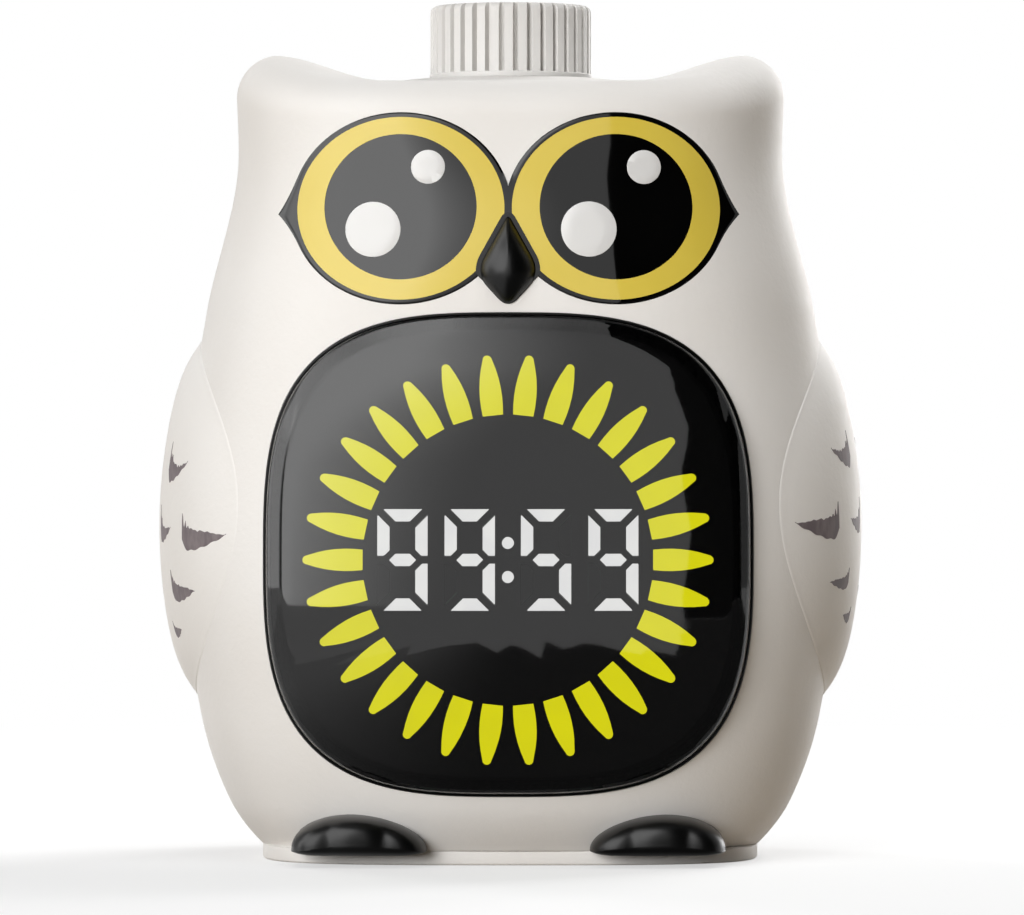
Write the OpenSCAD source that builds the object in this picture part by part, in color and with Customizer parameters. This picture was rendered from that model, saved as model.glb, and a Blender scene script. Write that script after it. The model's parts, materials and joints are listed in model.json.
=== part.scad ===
// Owl-shaped visual timer: a moulded body with a domed display, two eyes,
// wings and feet, and a push-and-turn knob on the head.
// Millimetres, +Z up, front towards -Y, origin in the middle of the base.

/* [Body] */
// Thickness of the moulded shells
wall = 2; // [1.8:0.1:2.4]
// Squareness of the body's plan, 2 is an ellipse
body_n = 2.8; // [2.6:0.1:3.2]
// Width of the body at its lower rim
rim_w = 69.2; // [68.8:0.2:70.6]
// Depth of the body at its lower rim
rim_d = 58.8; // [58.4:0.2:60]
// Height of the haunches, where the rolled lower edge ends
haunch_z = 8; // [7.5:0.1:9]
// Width at the haunches
haunch_w = 78; // [77.4:0.2:79]
// Depth at the haunches
haunch_d = 67.6; // [67:0.2:68.6]
// Height of the hips
hip_z = 20; // [18:0.5:22]
// Width at the hips
hip_w = 86; // [85:0.2:87]
// Depth at the hips
hip_d = 74; // [73.4:0.2:75]
// Height at which the body is deepest
paunch_z = 34; // [32:0.5:37]
// Depth of the body at its deepest
paunch_d = 76.4; // [76:0.2:77.4]
// Height at which the body is widest
belly_z = 46; // [43:0.5:49]
// Width of the body at its widest
belly_w = 92.4; // [91:0.2:94]
// Height of the shoulders
shoulder_z = 75; // [73:0.5:77]
// Width at the shoulders
shoulder_w = 84.6; // [84:0.2:86]
// Depth at the shoulders
shoulder_d = 69.2; // [68.6:0.2:70.2]
// Height of the neck
neck_z = 97.5; // [96:0.5:99]
// Width at the neck
neck_w = 75.6; // [75:0.2:76.4]
// Depth at the neck
neck_d = 63.2; // [62.6:0.2:64]
// Height of the brow, where the head rolls over into its roof
brow_z = 105.4; // [104.6:0.1:106]
// Width at the brow
brow_w = 76.1; // [75.6:0.1:76.8]
// Depth at the brow
brow_d = 62; // [61.4:0.2:62.8]

/* [Head] */
// Height of the roof between knob and ears
roof_z = 107.4; // [107.2:0.1:108]
// Rise of the roof under the knob
crown_h = 1.2; // [0.8:0.1:1.4]
// Radius over which that rise fades
crown_r = 18; // [16:0.5:20]
// Rise of the ears above the roof
ear_h = 4.1; // [3:0.1:4.6]
// Distance from the middle at which an ear starts to rise
ear_in = 16.5; // [15:0.5:18]
// Distance from the middle at which an ear is full
ear_out = 33; // [32:0.5:35]
// Half length of an ear from front to back
ear_len = 20; // [16:0.5:22]
// How squarely an ear ends at its front and back
ear_shape = 3; // [2:0.5:4]
// Edge radius at the ears
ear_round = 6; // [5:0.1:6.4]
// Edge radius at the brow and at the back of the head
brow_round = 4.8; // [4.2:0.1:5]
// Fall of the roof towards the brow
brow_fall = 1.2; // [0.8:0.1:1.4]

/* [Base] */
// Height of the plinth
plinth_h = 2; // [1.8:0.1:2.2]
// Width of the plinth
plinth_w = 68.6; // [67.6:0.2:69]
// Depth of the plinth
plinth_d = 58; // [57:0.2:58.4]
// Squareness of the plinth's plan
plinth_n = 3.5; // [3:0.1:4]
// Thickness of the floor flange at the foot of the shells
flange_t = 2; // [1.8:0.1:2.4]
// Width of the service opening in the floor
service_w = 54; // [52:0.5:55]
// Depth of the service opening in the floor
service_d = 44; // [42:0.5:45]
// Radius of a non-slip pad
pad_r = 3.5; // [3:0.1:4]
// Thickness of a non-slip pad
pad_t = 0.8; // [0.6:0.1:1]
// Distance of the pads from the middle, sideways
pad_x = 21; // [19:0.5:22]
// Distance of the pads from the middle, front to back
pad_y = 20.5; // [19:0.5:21]

/* [Knob] */
// Radius of the knob
knob_r = 11.2; // [10.6:0.1:11.6]
// Height of the knob
knob_h = 10.4; // [9.8:0.1:12]
// Height of its underside above the floor
knob_z = 107.8; // [107.7:0.05:108]
// Number of grooves in the grip
knob_grooves = 36; // [24:1:44]
// Depth of a groove
groove_depth = 0.7; // [0.4:0.05:0.9]
// Height of the plain band below the grooves
knob_band = 0.9; // [0.7:0.1:1.4]
// Width of the rolled top edge
knob_edge = 1; // [0.6:0.1:1.4]
// Thickness of the knob's grip wall below the grooves
knob_wall = 1.7; // [1.4:0.1:2]
// Thickness of the knob's top
knob_top = 2; // [1.6:0.1:2.6]
// How far the knob is pushed down to start the timer
press_travel = 0.5; // [0.3:0.05:0.6]

/* [Encoder] */
// Side of the square encoder housing
encoder_w = 12; // [11.6:0.1:13]
// Height of the encoder housing
encoder_h = 6.4; // [6:0.1:7]
// Radius of the threaded bushing
bushing_r = 3.5; // [3.4:0.05:4]
// Height of the bushing above its housing
bushing_h = 6.4; // [6:0.1:6.8]
// Radius of the shaft
shaft_r = 3; // [2.6:0.05:3.1]
// Depth of the flat on the shaft
shaft_flat = 1.5; // [1:0.1:1.6]

/* [Eyes] */
// Distance of an eye from the middle
eye_x = 14.6; // [14.4:0.05:14.8]
// Height of the eyes
eye_z = 89; // [88.6:0.1:89.4]
// Half width of an eye's glossy mask
mask_rx = 15; // [14.6:0.05:15.2]
// Half height of an eye's glossy mask
mask_rz = 13.05; // [12.8:0.05:13.2]
// Reach of the mask's outer tip past its ellipse
tip_reach = 1.8; // [1:0.1:2.2]
// Drop of the outer tip below the eye's middle
tip_drop = 0.6; // [0:0.1:1.2]
// Black border between iris and mask edge
eye_border = 0.65; // [0.4:0.05:0.9]
// Half width of a pupil
pupil_rx = 10.35; // [9.8:0.05:11]
// Half height of a pupil
pupil_rz = 9.87; // [9.4:0.05:10.4]
// Radius of the large glint
glint_big_r = 3.75; // [3.2:0.05:4]
// Radius of the small glint
glint_small_r = 2.3; // [1.8:0.05:2.6]
// Thickness of an eye's mask plate
mask_t = 0.9; // [0.7:0.05:1]
// Thickness of the iris and glint inlays
inlay_t = 0.3; // [0.2:0.05:0.4]

/* [Beak] */
// Height of the beak's upper point
beak_top = 88.3; // [87.8:0.1:88.8]
// Height at which the beak is widest
beak_mid = 80.2; // [79.6:0.1:80.8]
// Height of the beak's lower point
beak_low = 75.9; // [75.6:0.1:76.4]
// Half width of the beak
beak_hw = 4.5; // [4:0.1:5]
// How far the beak stands out
beak_proud = 2.6; // [1.8:0.1:3.2]

/* [Display] */
// Half width of the display with its bezel
display_a = 33.25; // [32.6:0.05:33.4]
// Half height of the display with its bezel
display_b = 33; // [32.4:0.05:33.1]
// Squareness of the display's outline
display_n = 3.1; // [2.9:0.05:3.3]
// Height of the display's middle
display_z = 42.35; // [42.2:0.05:42.6]
// Width of the bezel
bezel_w = 0.8; // [0.6:0.05:1]
// How far the bezel stands out of the body
bezel_proud = 0.45; // [0.3:0.05:0.7]
// Radius of the lens's dome
lens_r = 190; // [175:1:220]
// How far the lens reaches forward of the origin
lens_front = 39.6; // [39.4:0.05:39.9]
// Height of the lens's foremost point
lens_z = 35; // [34:0.5:37]
// Thickness of the lens
lens_t = 1.8; // [1.5:0.05:2]
// Width of the lens's rolled edge
lens_roll = 3.6; // [3:0.1:4]
// Height above the floor of the middle of petals and digits
dial_z = 41.5; // [41:0.1:42]
// Number of light petals
petals = 30; // [20:1:32]
// Inner radius of the petal ring
petal_in = 19.6; // [19:0.1:20]
// Outer radius of the petal ring
petal_out = 27.7; // [27:0.1:28]
// Greatest width of a petal
petal_w = 2.96; // [2.4:0.02:3]
// Height of a digit
digit_h = 13.6; // [12.6:0.1:14]
// Width of a digit
digit_w = 6.73; // [6.4:0.01:6.9]
// Width of a digit's stroke
stroke = 1.6; // [1.3:0.05:1.7]
// Gap between two strokes
stroke_gap = 0.6; // [0.4:0.05:0.8]
// Distance of the inner digits from the middle
digit_in = 5.14; // [5:0.02:5.3]
// Distance of the outer digits from the middle
digit_out = 14.2; // [14:0.05:14.4]
// Radius of a colon dot
dot_r = 0.78; // [0.6:0.02:0.9]
// Distance of a colon dot from the dial's middle
dot_z = 2.29; // [2:0.05:2.6]
// Thickness of the circuit boards
board_t = 1.6; // [1.2:0.1:1.8]

/* [Wings] */
// Height of a wing's middle
wing_z = 46.9; // [46:0.1:48]
// Height of a wing
wing_h = 49.4; // [47:0.2:50.4]
// Reach of a wing towards the front
wing_front = 28.8; // [27.6:0.1:29.4]
// Reach of a wing towards the back
wing_rear = 21; // [19:0.2:23]
// Reach of the tip at a wing's lower back
wing_tip = 6; // [3:0.2:7]
// How far a wing stands out at its middle
wing_proud = 2.4; // [2:0.1:3]
// How far a wing stands out at its edge
wing_edge = 0.5; // [0.45:0.05:0.8]
// Radius of a wing's pegs
peg_r = 1.4; // [1.2:0.05:1.7]

/* [Feet] */
// Distance of a foot's inner end from the middle
foot_in = 10.7; // [10:0.1:11.4]
// Distance of a foot's outer end from the middle
foot_out = 29.7; // [29:0.1:30.2]
// Height of a foot's underside
foot_low = 1.6; // [1.5:0.05:1.8]
// Height of a foot's top
foot_top = 7.2; // [6.8:0.1:7.8]
// How far the feet reach forward of the origin
foot_front = 38; // [36.5:0.1:39]
// Depth of the grooves between the toes
toe_groove = 0.5; // [0.3:0.05:0.9]

/* [Back] */
// Diameter of a battery cell
cell_d = 10.5; // [10.2:0.1:10.6]
// Length of a battery cell
cell_l = 44.5; // [43.5:0.1:44.8]
// Height of the lower end of the cells
cell_z = 16.2; // [15.8:0.1:16.4]
// Distance of the cells behind the middle
cell_y = 24.3; // [23.8:0.1:24.4]
// Thickness of the battery door
door_t = 1.8; // [1.5:0.1:2]
// Angle to which the battery door opens
door_open = 70; // [50:1:75]
// Height of the speaker
speaker_z = 87; // [86.6:0.1:87.4]
// Radius of the speaker
speaker_r = 12.5; // [11.5:0.1:12.7]
// Radius of a hole in the speaker's grille
grille_r = 0.9; // [0.6:0.05:1.2]
// Spacing of the holes in the grille
grille_step = 3.6; // [3.2:0.1:3.8]
// Height of the volume switch
volume_z = 68.5; // [68.2:0.1:68.8]
// Travel of the volume slider to either side
volume_travel = 2; // [1:0.1:2.4]

/* [Clearances] */
// Gap around a piece that is fixed in its seat
fit_gap = 0.1; // [0.06:0.01:0.15]
// Radial gap of the shaft in its bushing
run_gap = 0.05; // [0.03:0.01:0.08]
// Gap around a part that slides or swings
slide_gap = 0.3; // [0.2:0.05:0.4]
// Gap between a curved skin and a piece laid on it
skin_gap = 0.15; // [0.1:0.01:0.2]

/* [Hidden] */
$fn = 48;

body_color = [0.91, 0.9, 0.88];
gloss_black = [0.06, 0.06, 0.065];
eye_yellow = [0.92, 0.85, 0.42];
petal_yellow = [0.87, 0.85, 0.2];
light_white = [0.9, 0.9, 0.9];
board_green = [0.1, 0.35, 0.2];
steel = [0.72, 0.73, 0.75];

// Screws: head and shank sizes, and the posts that take them
screw_head_r = 2.1;
screw_head_h = 1.2;
screw_r = 1.1;
pilot_gap = 0.02;
post_r = 2.5;
slim_post_r = 2.2;
board_post_r = 2.3;
screw_bite = 4;

// Stations of the body's half width and half depth over its height
width_stations = [[plinth_h, rim_w / 2], [haunch_z, haunch_w / 2], [hip_z, hip_w / 2], [belly_z, belly_w / 2],
  [shoulder_z, shoulder_w / 2], [neck_z, neck_w / 2], [brow_z, brow_w / 2]];
depth_stations = [[plinth_h, rim_d / 2], [haunch_z, haunch_d / 2], [hip_z, hip_d / 2],
  [paunch_z, paunch_d / 2],
  [shoulder_z, shoulder_d / 2], [neck_z, neck_d / 2], [brow_z, brow_d / 2]];
rim_steepness = 1.35;

// Slope of a smooth curve at station i, flat where the stations turn back
function rise(p, i) = (p[i + 1][1] - p[i][1]) / (p[i + 1][0] - p[i][0]);
function slope(p, i) =
  i == 0 ? rise(p, 0) * rim_steepness :
  i == len(p) - 1 ? rise(p, i - 1) :
  let (r0 = rise(p, i - 1), r1 = rise(p, i), h0 = p[i][0] - p[i - 1][0], h1 = p[i + 1][0] - p[i][0])
  r0 * r1 <= 0 ? 0 : 3 * (h0 + h1) / ((2 * h1 + h0) / r0 + (h1 + 2 * h0) / r1);
function span_of(p, z, i = 0) = i >= len(p) - 2 || z < p[i + 1][0] ? i : span_of(p, z, i + 1);
// Height on a smooth curve through the stations
function along(p, z) =
  let (zc = min(max(z, p[0][0]), p[len(p) - 1][0]), i = span_of(p, zc), h = p[i + 1][0] - p[i][0],
    t = (zc - p[i][0]) / h)
  (2 * t ^ 3 - 3 * t ^ 2 + 1) * p[i][1] + (t ^ 3 - 2 * t ^ 2 + t) * h * slope(p, i)
  + (3 * t ^ 2 - 2 * t ^ 3) * p[i + 1][1] + (t ^ 3 - t ^ 2) * h * slope(p, i + 1);
function half_w(z) = along(width_stations, z);
function half_d(z) = along(depth_stations, z);

// Radius of a unit superellipse in direction phi
function squareness(phi, n) = (abs(cos(phi)) ^ n + abs(sin(phi)) ^ n) ^ (-1 / n);
function squircle(a, b, n, count) = [for (i = [0 : count - 1])
  let (phi = 360 * i / count, k = squareness(phi, n))
  [a * k * cos(phi), b * k * sin(phi)]];
// Distance of the body's skin from the middle plane, at the front and at the side
function skin_y(x, z) = half_d(z) * max(0, 1 - (abs(x) / half_w(z)) ^ body_n) ^ (1 / body_n);
function skin_x(y, z) = half_w(z) * max(0, 1 - (abs(y) / half_d(z)) ^ body_n) ^ (1 / body_n);

function unit_range(t) = min(1, max(0, t));
function ease(t) = t * t * (3 - 2 * t);
// Height of the head's roof, with the swell under the knob and the two ears
function roof(x, y) = roof_z + crown_h * max(0, 1 - (x * x + y * y) / crown_r ^ 2)
  + ear_h * ease(unit_range((abs(x) - ear_in) / (ear_out - ear_in))) * exp(-(abs(y) / ear_len) ^ ear_shape)
  - brow_fall * (2 * y / brow_d) ^ 2;
function edge_r(phi) = brow_round + (ear_round - brow_round) * cos(phi) ^ 2;

// A point of the body in direction phi, set in by d: up the wall, over the edge, across the roof
function plan_point(phi, z, d, s = 1) = let (k = squareness(phi, body_n) * s)
  [(half_w(z) - d) * k * cos(phi), (half_d(z) - d) * k * sin(phi)];
function wall_top(phi, d) = let (p = plan_point(phi, brow_z, d)) roof(p[0], p[1]) - edge_r(phi);
function wall_point(phi, v, d, z0) = let (z = z0 + v * (wall_top(phi, d) - z0), p = plan_point(phi, z, d))
  [p[0], p[1], z];
function roof_point(phi, s, drop, d) = let (p = plan_point(phi, wall_top(phi, d), d, s))
  [p[0], p[1], roof(p[0], p[1]) - d - drop];
function edge_point(phi, turn, d) =
  let (p = plan_point(phi, wall_top(phi, d), d), r = edge_r(phi) - d)
  roof_point(phi, 1 - r * (1 - cos(turn)) / norm(p), r * (1 - sin(turn)), d);
function cap_point(phi, t, d) =
  let (p = plan_point(phi, wall_top(phi, d), d), r = edge_r(phi) - d)
  roof_point(phi, (1 - r / norm(p)) * t, 0, d);
function floor_point(phi, z) = let (k = squareness(phi, body_n))
  [service_w / 2 * k * cos(phi), service_d / 2 * k * sin(phi), z];

wall_rows = [0, 0.02, 0.05, 0.1, 0.17, 0.27, 0.38, 0.5, 0.62, 0.73, 0.83, 0.92, 1];
edge_turns = [30, 60, 90];
cap_rows = [0.8, 0.6, 0.4, 0.2, 0.08];
half_cols = 26;
function flat_y(p, on) = on ? [p[0], 0, p[2]] : p;
function body_row(points) = [for (j = [0 : half_cols]) flat_y(points[j], j == 0 || j == half_cols)];
// Rows of points over half of the body, from the service opening to the crown
function body_rows(from, d, z0) = let (phis = [for (j = [0 : half_cols]) from + 180 * j / half_cols]) concat(
  [body_row([for (phi = phis) floor_point(phi, z0)])],
  [for (v = wall_rows) body_row([for (phi = phis) wall_point(phi, v, d, z0)])],
  [for (turn = edge_turns) body_row([for (phi = phis) edge_point(phi, turn, d)])],
  [for (t = cap_rows) body_row([for (phi = phis) cap_point(phi, t, d)])]);

function flat(rows) = [for (row = rows) for (p = row) p];
// Solid between two grids of points with the same number of rows and columns
module thick_patch(outer, inner) {
  rows = len(outer);
  cols = len(outer[0]);
  count = rows * cols;
  function out(i, j) = i * cols + j;
  function inn(i, j) = count + i * cols + j;
  skins = [for (i = [0 : rows - 2]) for (j = [0 : cols - 2]) each [
    [out(i, j), out(i + 1, j), out(i + 1, j + 1)], [out(i, j), out(i + 1, j + 1), out(i, j + 1)],
    [inn(i, j), inn(i + 1, j + 1), inn(i + 1, j)], [inn(i, j), inn(i, j + 1), inn(i + 1, j + 1)]]];
  last = cols - 1;
  sides = [for (i = [0 : rows - 2]) each [
    [inn(i, 0), inn(i + 1, 0), out(i + 1, 0)], [inn(i, 0), out(i + 1, 0), out(i, 0)],
    [out(i, last), out(i + 1, last), inn(i + 1, last)], [out(i, last), inn(i + 1, last), inn(i, last)]]];
  top = rows - 1;
  ends = [for (j = [0 : cols - 2]) each [
    [out(0, j), out(0, j + 1), inn(0, j + 1)], [out(0, j), inn(0, j + 1), inn(0, j)],
    [out(top, j + 1), out(top, j), inn(top, j)], [out(top, j + 1), inn(top, j), inn(top, j + 1)]]];
  polyhedron(concat(flat(outer), flat(inner)), concat(skins, sides, ends));
}

function middle(ring) = [for (k = [0 : 2]) let (c = [for (p = ring) p[k]]) (min(c) + max(c)) / 2];
// Solid through closed rings of points, capped at both ends or closed on itself
module loft(rings, closed = false) {
  n = len(rings[0]);
  k = len(rings);
  steps = closed ? k : k - 1;
  function at(i, j) = (i % k) * n + j % n;
  skin = [for (i = [0 : steps - 1]) for (j = [0 : n - 1]) each [
    [at(i, j), at(i, j + 1), at(i + 1, j + 1)], [at(i, j), at(i + 1, j + 1), at(i + 1, j)]]];
  caps = closed ? [] : [for (j = [0 : n - 1]) each [
    [k * n, at(0, j + 1), at(0, j)], [k * n + 1, at(k - 1, j), at(k - 1, j + 1)]]];
  centres = closed ? [] : [middle(rings[0]), middle(rings[k - 1])];
  polyhedron(concat(flat(rings), centres), concat(skin, caps));
}

// Outline with its corners rounded by curves that start at distance r from each corner
function toward(a, b, r) = a + (b - a) * r / norm(b - a);
function rounded(corners, radii, steps) = [for (i = [0 : len(corners) - 1])
  let (n = len(corners), c = corners[i], p0 = toward(c, corners[(i + n - 1) % n], radii[i]),
    p1 = toward(c, corners[(i + 1) % n], radii[i]))
  for (k = [0 : steps]) let (t = k / steps) (1 - t) ^ 2 * p0 + 2 * t * (1 - t) * c + t ^ 2 * p1];
// Outline shrunk towards a middle point
function inset(outline, c, s) = [for (p = outline) c + (p - c) * s];
// Outline grown by g away from its middle point
function grown(outline, c, g) = [for (p = outline) p + (p - c) * g / norm(p - c)];
// Ring of an outline laid on the front skin, h in front of it
function on_front(outline, h) = [for (p = outline) [p[0], -skin_y(p[0], p[1]) - h, p[1]]];
function on_plane(outline, y) = [for (p = outline) [p[0], y, p[1]]];

// Profiles drawn in X and Z, run along Y
module along_y(y0, y1) {
  translate([0, y1, 0]) rotate([90, 0, 0]) linear_extrude(y1 - y0) children();
}
// Profiles drawn in Y and Z, run along X
module along_x(x0, x1) {
  translate([x0, 0, 0]) rotate([90, 0, 90]) linear_extrude(x1 - x0) children();
}
module rod_y(x, z, r, y0, y1) {
  translate([x, y1, z]) rotate([90, 0, 0]) cylinder(r = r, h = y1 - y0);
}
module both_sides() {
  children();
  mirror([1, 0, 0]) children();
}

// Eyes
tip_up = 6;
tip_down = 5;
tip_sharpness = 2.2;
eye_points = 40;
eye_split = 0.05;
tip_angle = -asin(tip_drop / mask_rz);
function tip_bulge(dz) = let (u = dz + tip_drop, w = u > 0 ? tip_up : tip_down)
  tip_reach * max(0, 1 - abs(u) / w) ^ tip_sharpness;
function mask_outline(g = 0) = [for (i = [0 : eye_points - 1])
  let (t = tip_angle + 360 * i / eye_points, dz = (mask_rz + g) * sin(t),
    dx = (mask_rx + g) * cos(t) + (cos(t) > 0 ? tip_bulge(dz) : 0))
  [max(eye_split - g / 2, eye_x + dx), eye_z + dz]];
eye_mid = [eye_x, eye_z];
pupil_mid = [eye_x, eye_z + 0.2];
glint_points = 18;
inlay_over = 1;
glint_small = [3.75, 5.4];
glint_big = [-3.7, -3.05];
function oval(c, rx, rz) = [for (i = [0 : eye_points - 1]) let (t = 360 * i / eye_points)
  [max(eye_split + eye_border, c[0] + rx * cos(t)), c[1] + rz * sin(t)]];
eye_rings = [0.05, 0.4, 0.72, 1];

module right_mask_plate(g, front, back) {
  outline = mask_outline(g);
  loft(concat([for (s = eye_rings) on_front(inset(outline, eye_mid, s), front)],
    [for (i = [1 : len(eye_rings)]) on_front(inset(outline, eye_mid, eye_rings[len(eye_rings) - i]), back)]));
}

// Beak
beak_c = [0, beak_mid];
beak_outline = rounded([[beak_hw, beak_mid], [0, beak_top], [-beak_hw, beak_mid], [0, beak_low - 0.5]],
  [2.2, 0.8, 2.2, 1.8], 5);
beak_rings = [0.08, 0.35, 0.6, 0.8, 0.93, 1];
beak_back = skin_y(0, beak_mid) - wall - 0.4;
module beak_profile(g) {
  polygon(grown(beak_outline, beak_c, g));
}

module eye_mask(side) {
  difference() {
    mirror([side < 0 ? 1 : 0, 0, 0]) union() {
      right_mask_plate(0, 0, -mask_t);
      eye_pegs(0, mask_t / 2 + wall);
    }
    along_y(-brow_d, 0) beak_profile(fit_gap);
    mirror([side < 0 ? 1 : 0, 0, 0]) right_iris(inlay_over);
    glints(side, inlay_over);
  }
}
// Round pegs behind an eye's mask, from half way through the mask into the shell
eye_peg_r = 1.5;
eye_peg_out = 7;
module eye_pegs(g, l) {
  for (end = [-1, 1]) let (x = eye_x + end * eye_peg_out, y = -skin_y(x, eye_z) + mask_t / 2)
    rod_y(x, eye_z, eye_peg_r + g, y, y + l);
}
module right_eye_mask() {
  color(gloss_black) eye_mask(1);
}
module left_eye_mask() {
  color(gloss_black) eye_mask(-1);
}
// Yellow ring of an eye, its front over the skin by h
module right_iris(h) {
  outer = oval(eye_mid, mask_rx - eye_border - 0.05, mask_rz - eye_border);
  inner = oval(pupil_mid, pupil_rx, pupil_rz);
  difference() {
    loft([on_front(inner, h), on_front(outer, h), on_front(outer, -inlay_t), on_front(inner, -inlay_t)],
      closed = true);
    along_y(-brow_d, 0) beak_profile(eye_border);
  }
}
module iris_inlays() {
  color(eye_yellow) both_sides() right_iris(0);
}
module glint(x, z, r, h) {
  ring = [for (i = [0 : glint_points - 1]) let (a = 360 * i / glint_points) [x + r * cos(a), z + r * sin(a)]];
  loft([on_front(ring, h), on_front(ring, -inlay_t)]);
}
module glints(side, h) {
  glint(side * eye_x + glint_small[0], pupil_mid[1] + glint_small[1], glint_small_r, h);
  glint(side * eye_x + glint_big[0], pupil_mid[1] + glint_big[1], glint_big_r, h);
}
module eye_glints() {
  color(light_white) for (side = [-1, 1]) glints(side, 0);
}
module beak() {
  crown = [for (s = beak_rings) beak_proud * (1 - s ^ 1.9)];
  color(gloss_black) loft(concat(
    [for (i = [0 : len(beak_rings) - 1]) on_front(inset(beak_outline, beak_c, beak_rings[i]), crown[i])],
    [on_plane(beak_outline, -beak_back), on_plane(inset(beak_outline, beak_c, beak_rings[0]), -beak_back)]));
}

// Display: bezel, lens, light guide block and board, one behind the other
lens_a = display_a - bezel_w - fit_gap;
lens_b = display_b - bezel_w - fit_gap;
lens_points = 46;
lens_lip = 1.7;
dome_y = lens_r - lens_front;
board_front = 26.6;
flange_front = 29.6;
block_gap = 0.3;
led_h = 0.6;
pipe_gap = 0.05;
function lens_dome(x, z, r) = sqrt(r ^ 2 - x ^ 2 - (z - lens_z) ^ 2) - dome_y;
display_c = [0, display_z];
function display_outline(a, b) = [for (p = squircle(a, b, display_n, lens_points)) p + display_c];
module display_profile(a, b) {
  translate(display_c) polygon(squircle(a, b, display_n, lens_points));
}
lens_outline = display_outline(lens_a, lens_b);
// Share of the rolled edge that is left at share s of the way out
roll_power = 2.2;
function roll(s) = let (t = unit_range((s - 1 + lens_roll / lens_a) * lens_a / lens_roll))
  (1 - t ^ roll_power) ^ (1 / roll_power);
function lens_ring(s) = [for (p = inset(lens_outline, display_c, s))
  let (low = skin_y(p[0], p[1]) + bezel_proud, high = lens_dome(p[0], p[1], lens_r))
  [p[0], -low - (high - low) * roll(s), p[1]]];
function lens_back(s) = [for (p = inset(lens_outline, display_c, s))
  [p[0], -lens_dome(p[0], p[1], lens_r - lens_t), p[1]]];
lip_s = 1 - lens_lip / lens_a;
module display_lens() {
  rings_out = [0.04, 0.35, 0.65, 1 - lens_roll / lens_a, 0.935, 0.97, 1];
  rings_in = [lip_s, 0.65, 0.35, 0.04];
  color([0.03, 0.03, 0.035, 0.6]) loft(concat([for (s = rings_out) lens_ring(s)],
    [on_plane(lens_outline, -flange_front), on_plane(inset(lens_outline, display_c, lip_s), -flange_front)],
    [for (s = rings_in) lens_back(s)]));
}
module display_bezel() {
  outer = display_outline(display_a, display_b);
  inner = display_outline(display_a - bezel_w, display_b - bezel_w);
  color(gloss_black) loft([on_front(inner, bezel_proud), on_front(outer, bezel_proud),
    on_plane(outer, -board_front), on_plane(inner, -board_front)], closed = true);
}
// Front half of the light guide block: everything behind the lens's inner dome
module under_dome() {
  translate([0, dome_y, lens_z]) sphere(r = lens_r - lens_t - block_gap, $fn = 320);
}
petal_swell = 0.3;
petal_nose = 0.6;
function petal_half(t) = t < petal_swell ?
  petal_w / 2 * (1 - 0.09 * ((petal_swell - t) / petal_swell) ^ 2) :
  petal_w / 2 - (petal_w / 2 - petal_nose) * ((t - petal_swell) / (1 - petal_swell)) ^ 2;
petal_steps = 6;
function petal_side(g) = [for (i = [0 : petal_steps]) let (t = i / petal_steps)
  [petal_half(t) + g, petal_in - g + t * (petal_out - petal_nose - petal_in + g)]];
function petal_end(g) = [for (a = [30, 60, 90, 120, 150])
  [(petal_nose + g) * cos(a), petal_out - petal_nose + (petal_nose + g) * sin(a)]];
module petal(g) {
  side = petal_side(g);
  polygon(concat(side, petal_end(g),
    [for (i = [0 : petal_steps]) let (p = side[petal_steps - i]) [-p[0], p[1]]]));
}
module petal_ring(g) {
  translate([0, dial_z]) for (k = [0 : petals - 1]) rotate(360 / petals * (k + 0.5)) petal(g);
}
// Strokes of a digit, a to g as on a seven-stroke display
seg_x = digit_w / 2;
seg_z = digit_h / 2;
bar_half = seg_x - stroke_gap * sqrt(2);
bar_end = seg_z - stroke_gap * sqrt(2);
function stroke_shape(s) =
  s == "a" ? [[bar_half, seg_z], [-bar_half, seg_z], [stroke - bar_half, seg_z - stroke],
    [bar_half - stroke, seg_z - stroke]] :
  s == "b" ? [[seg_x, stroke_gap], [seg_x, bar_end], [seg_x - stroke, bar_end - stroke],
    [seg_x - stroke, stroke_gap + stroke / 2], [seg_x - stroke / 2, stroke_gap]] :
  s == "g" ? [[seg_x - stroke, 0], [seg_x - stroke * 1.5, stroke / 2], [stroke * 1.5 - seg_x, stroke / 2],
    [stroke - seg_x, 0], [stroke * 1.5 - seg_x, -stroke / 2], [seg_x - stroke * 1.5, -stroke / 2]] :
  s == "f" ? [for (p = stroke_shape("b")) [-p[0], p[1]]] :
  [for (p = stroke_shape(s == "c" ? "b" : s == "e" ? "f" : "a")) [p[0], -p[1]]];
function mean(points) = [for (p = points) 1] * points / len(points);
// A stroke grown about its middle, so that its long sides move out by about g
function stroke_points(s, g) = let (shape = stroke_shape(s)) inset(shape, mean(shape), 1 + 2 * g / stroke);
digit_x = [-digit_out, -digit_in, digit_in, digit_out];
lit = ["abcdfg", "abcdfg", "acdfg", "abcdfg"];
dark = ["e", "e", "be", "e"];
module strokes(set, g) {
  for (d = [0 : 3]) for (s = set[d]) translate([digit_x[d], dial_z]) polygon(stroke_points(s, g));
}
module colon(g) {
  for (side = [-1, 1]) translate([0, dial_z + side * dot_z]) circle(r = dot_r + g, $fn = 24);
}
pipe_back = -board_front - led_h - 0.2;
module light_guide_block() {
  color([0.08, 0.08, 0.09]) difference() {
    union() {
      intersection() {
        along_y(-lens_front, -board_front)
          display_profile(lens_a - lens_lip - 0.25, lens_b - lens_lip - 0.25);
        under_dome();
      }
      along_y(-flange_front, -board_front) display_profile(lens_a, lens_b);
    }
    along_y(-lens_front - 1, -board_front + 1) petal_ring(pipe_gap);
    along_y(-lens_front - 1, -board_front + 1) strokes(lit, pipe_gap);
    along_y(-lens_front - 1, -board_front + 1) strokes(dark, pipe_gap);
    along_y(-lens_front - 1, -board_front + 1) colon(pipe_gap);
  }
}
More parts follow.
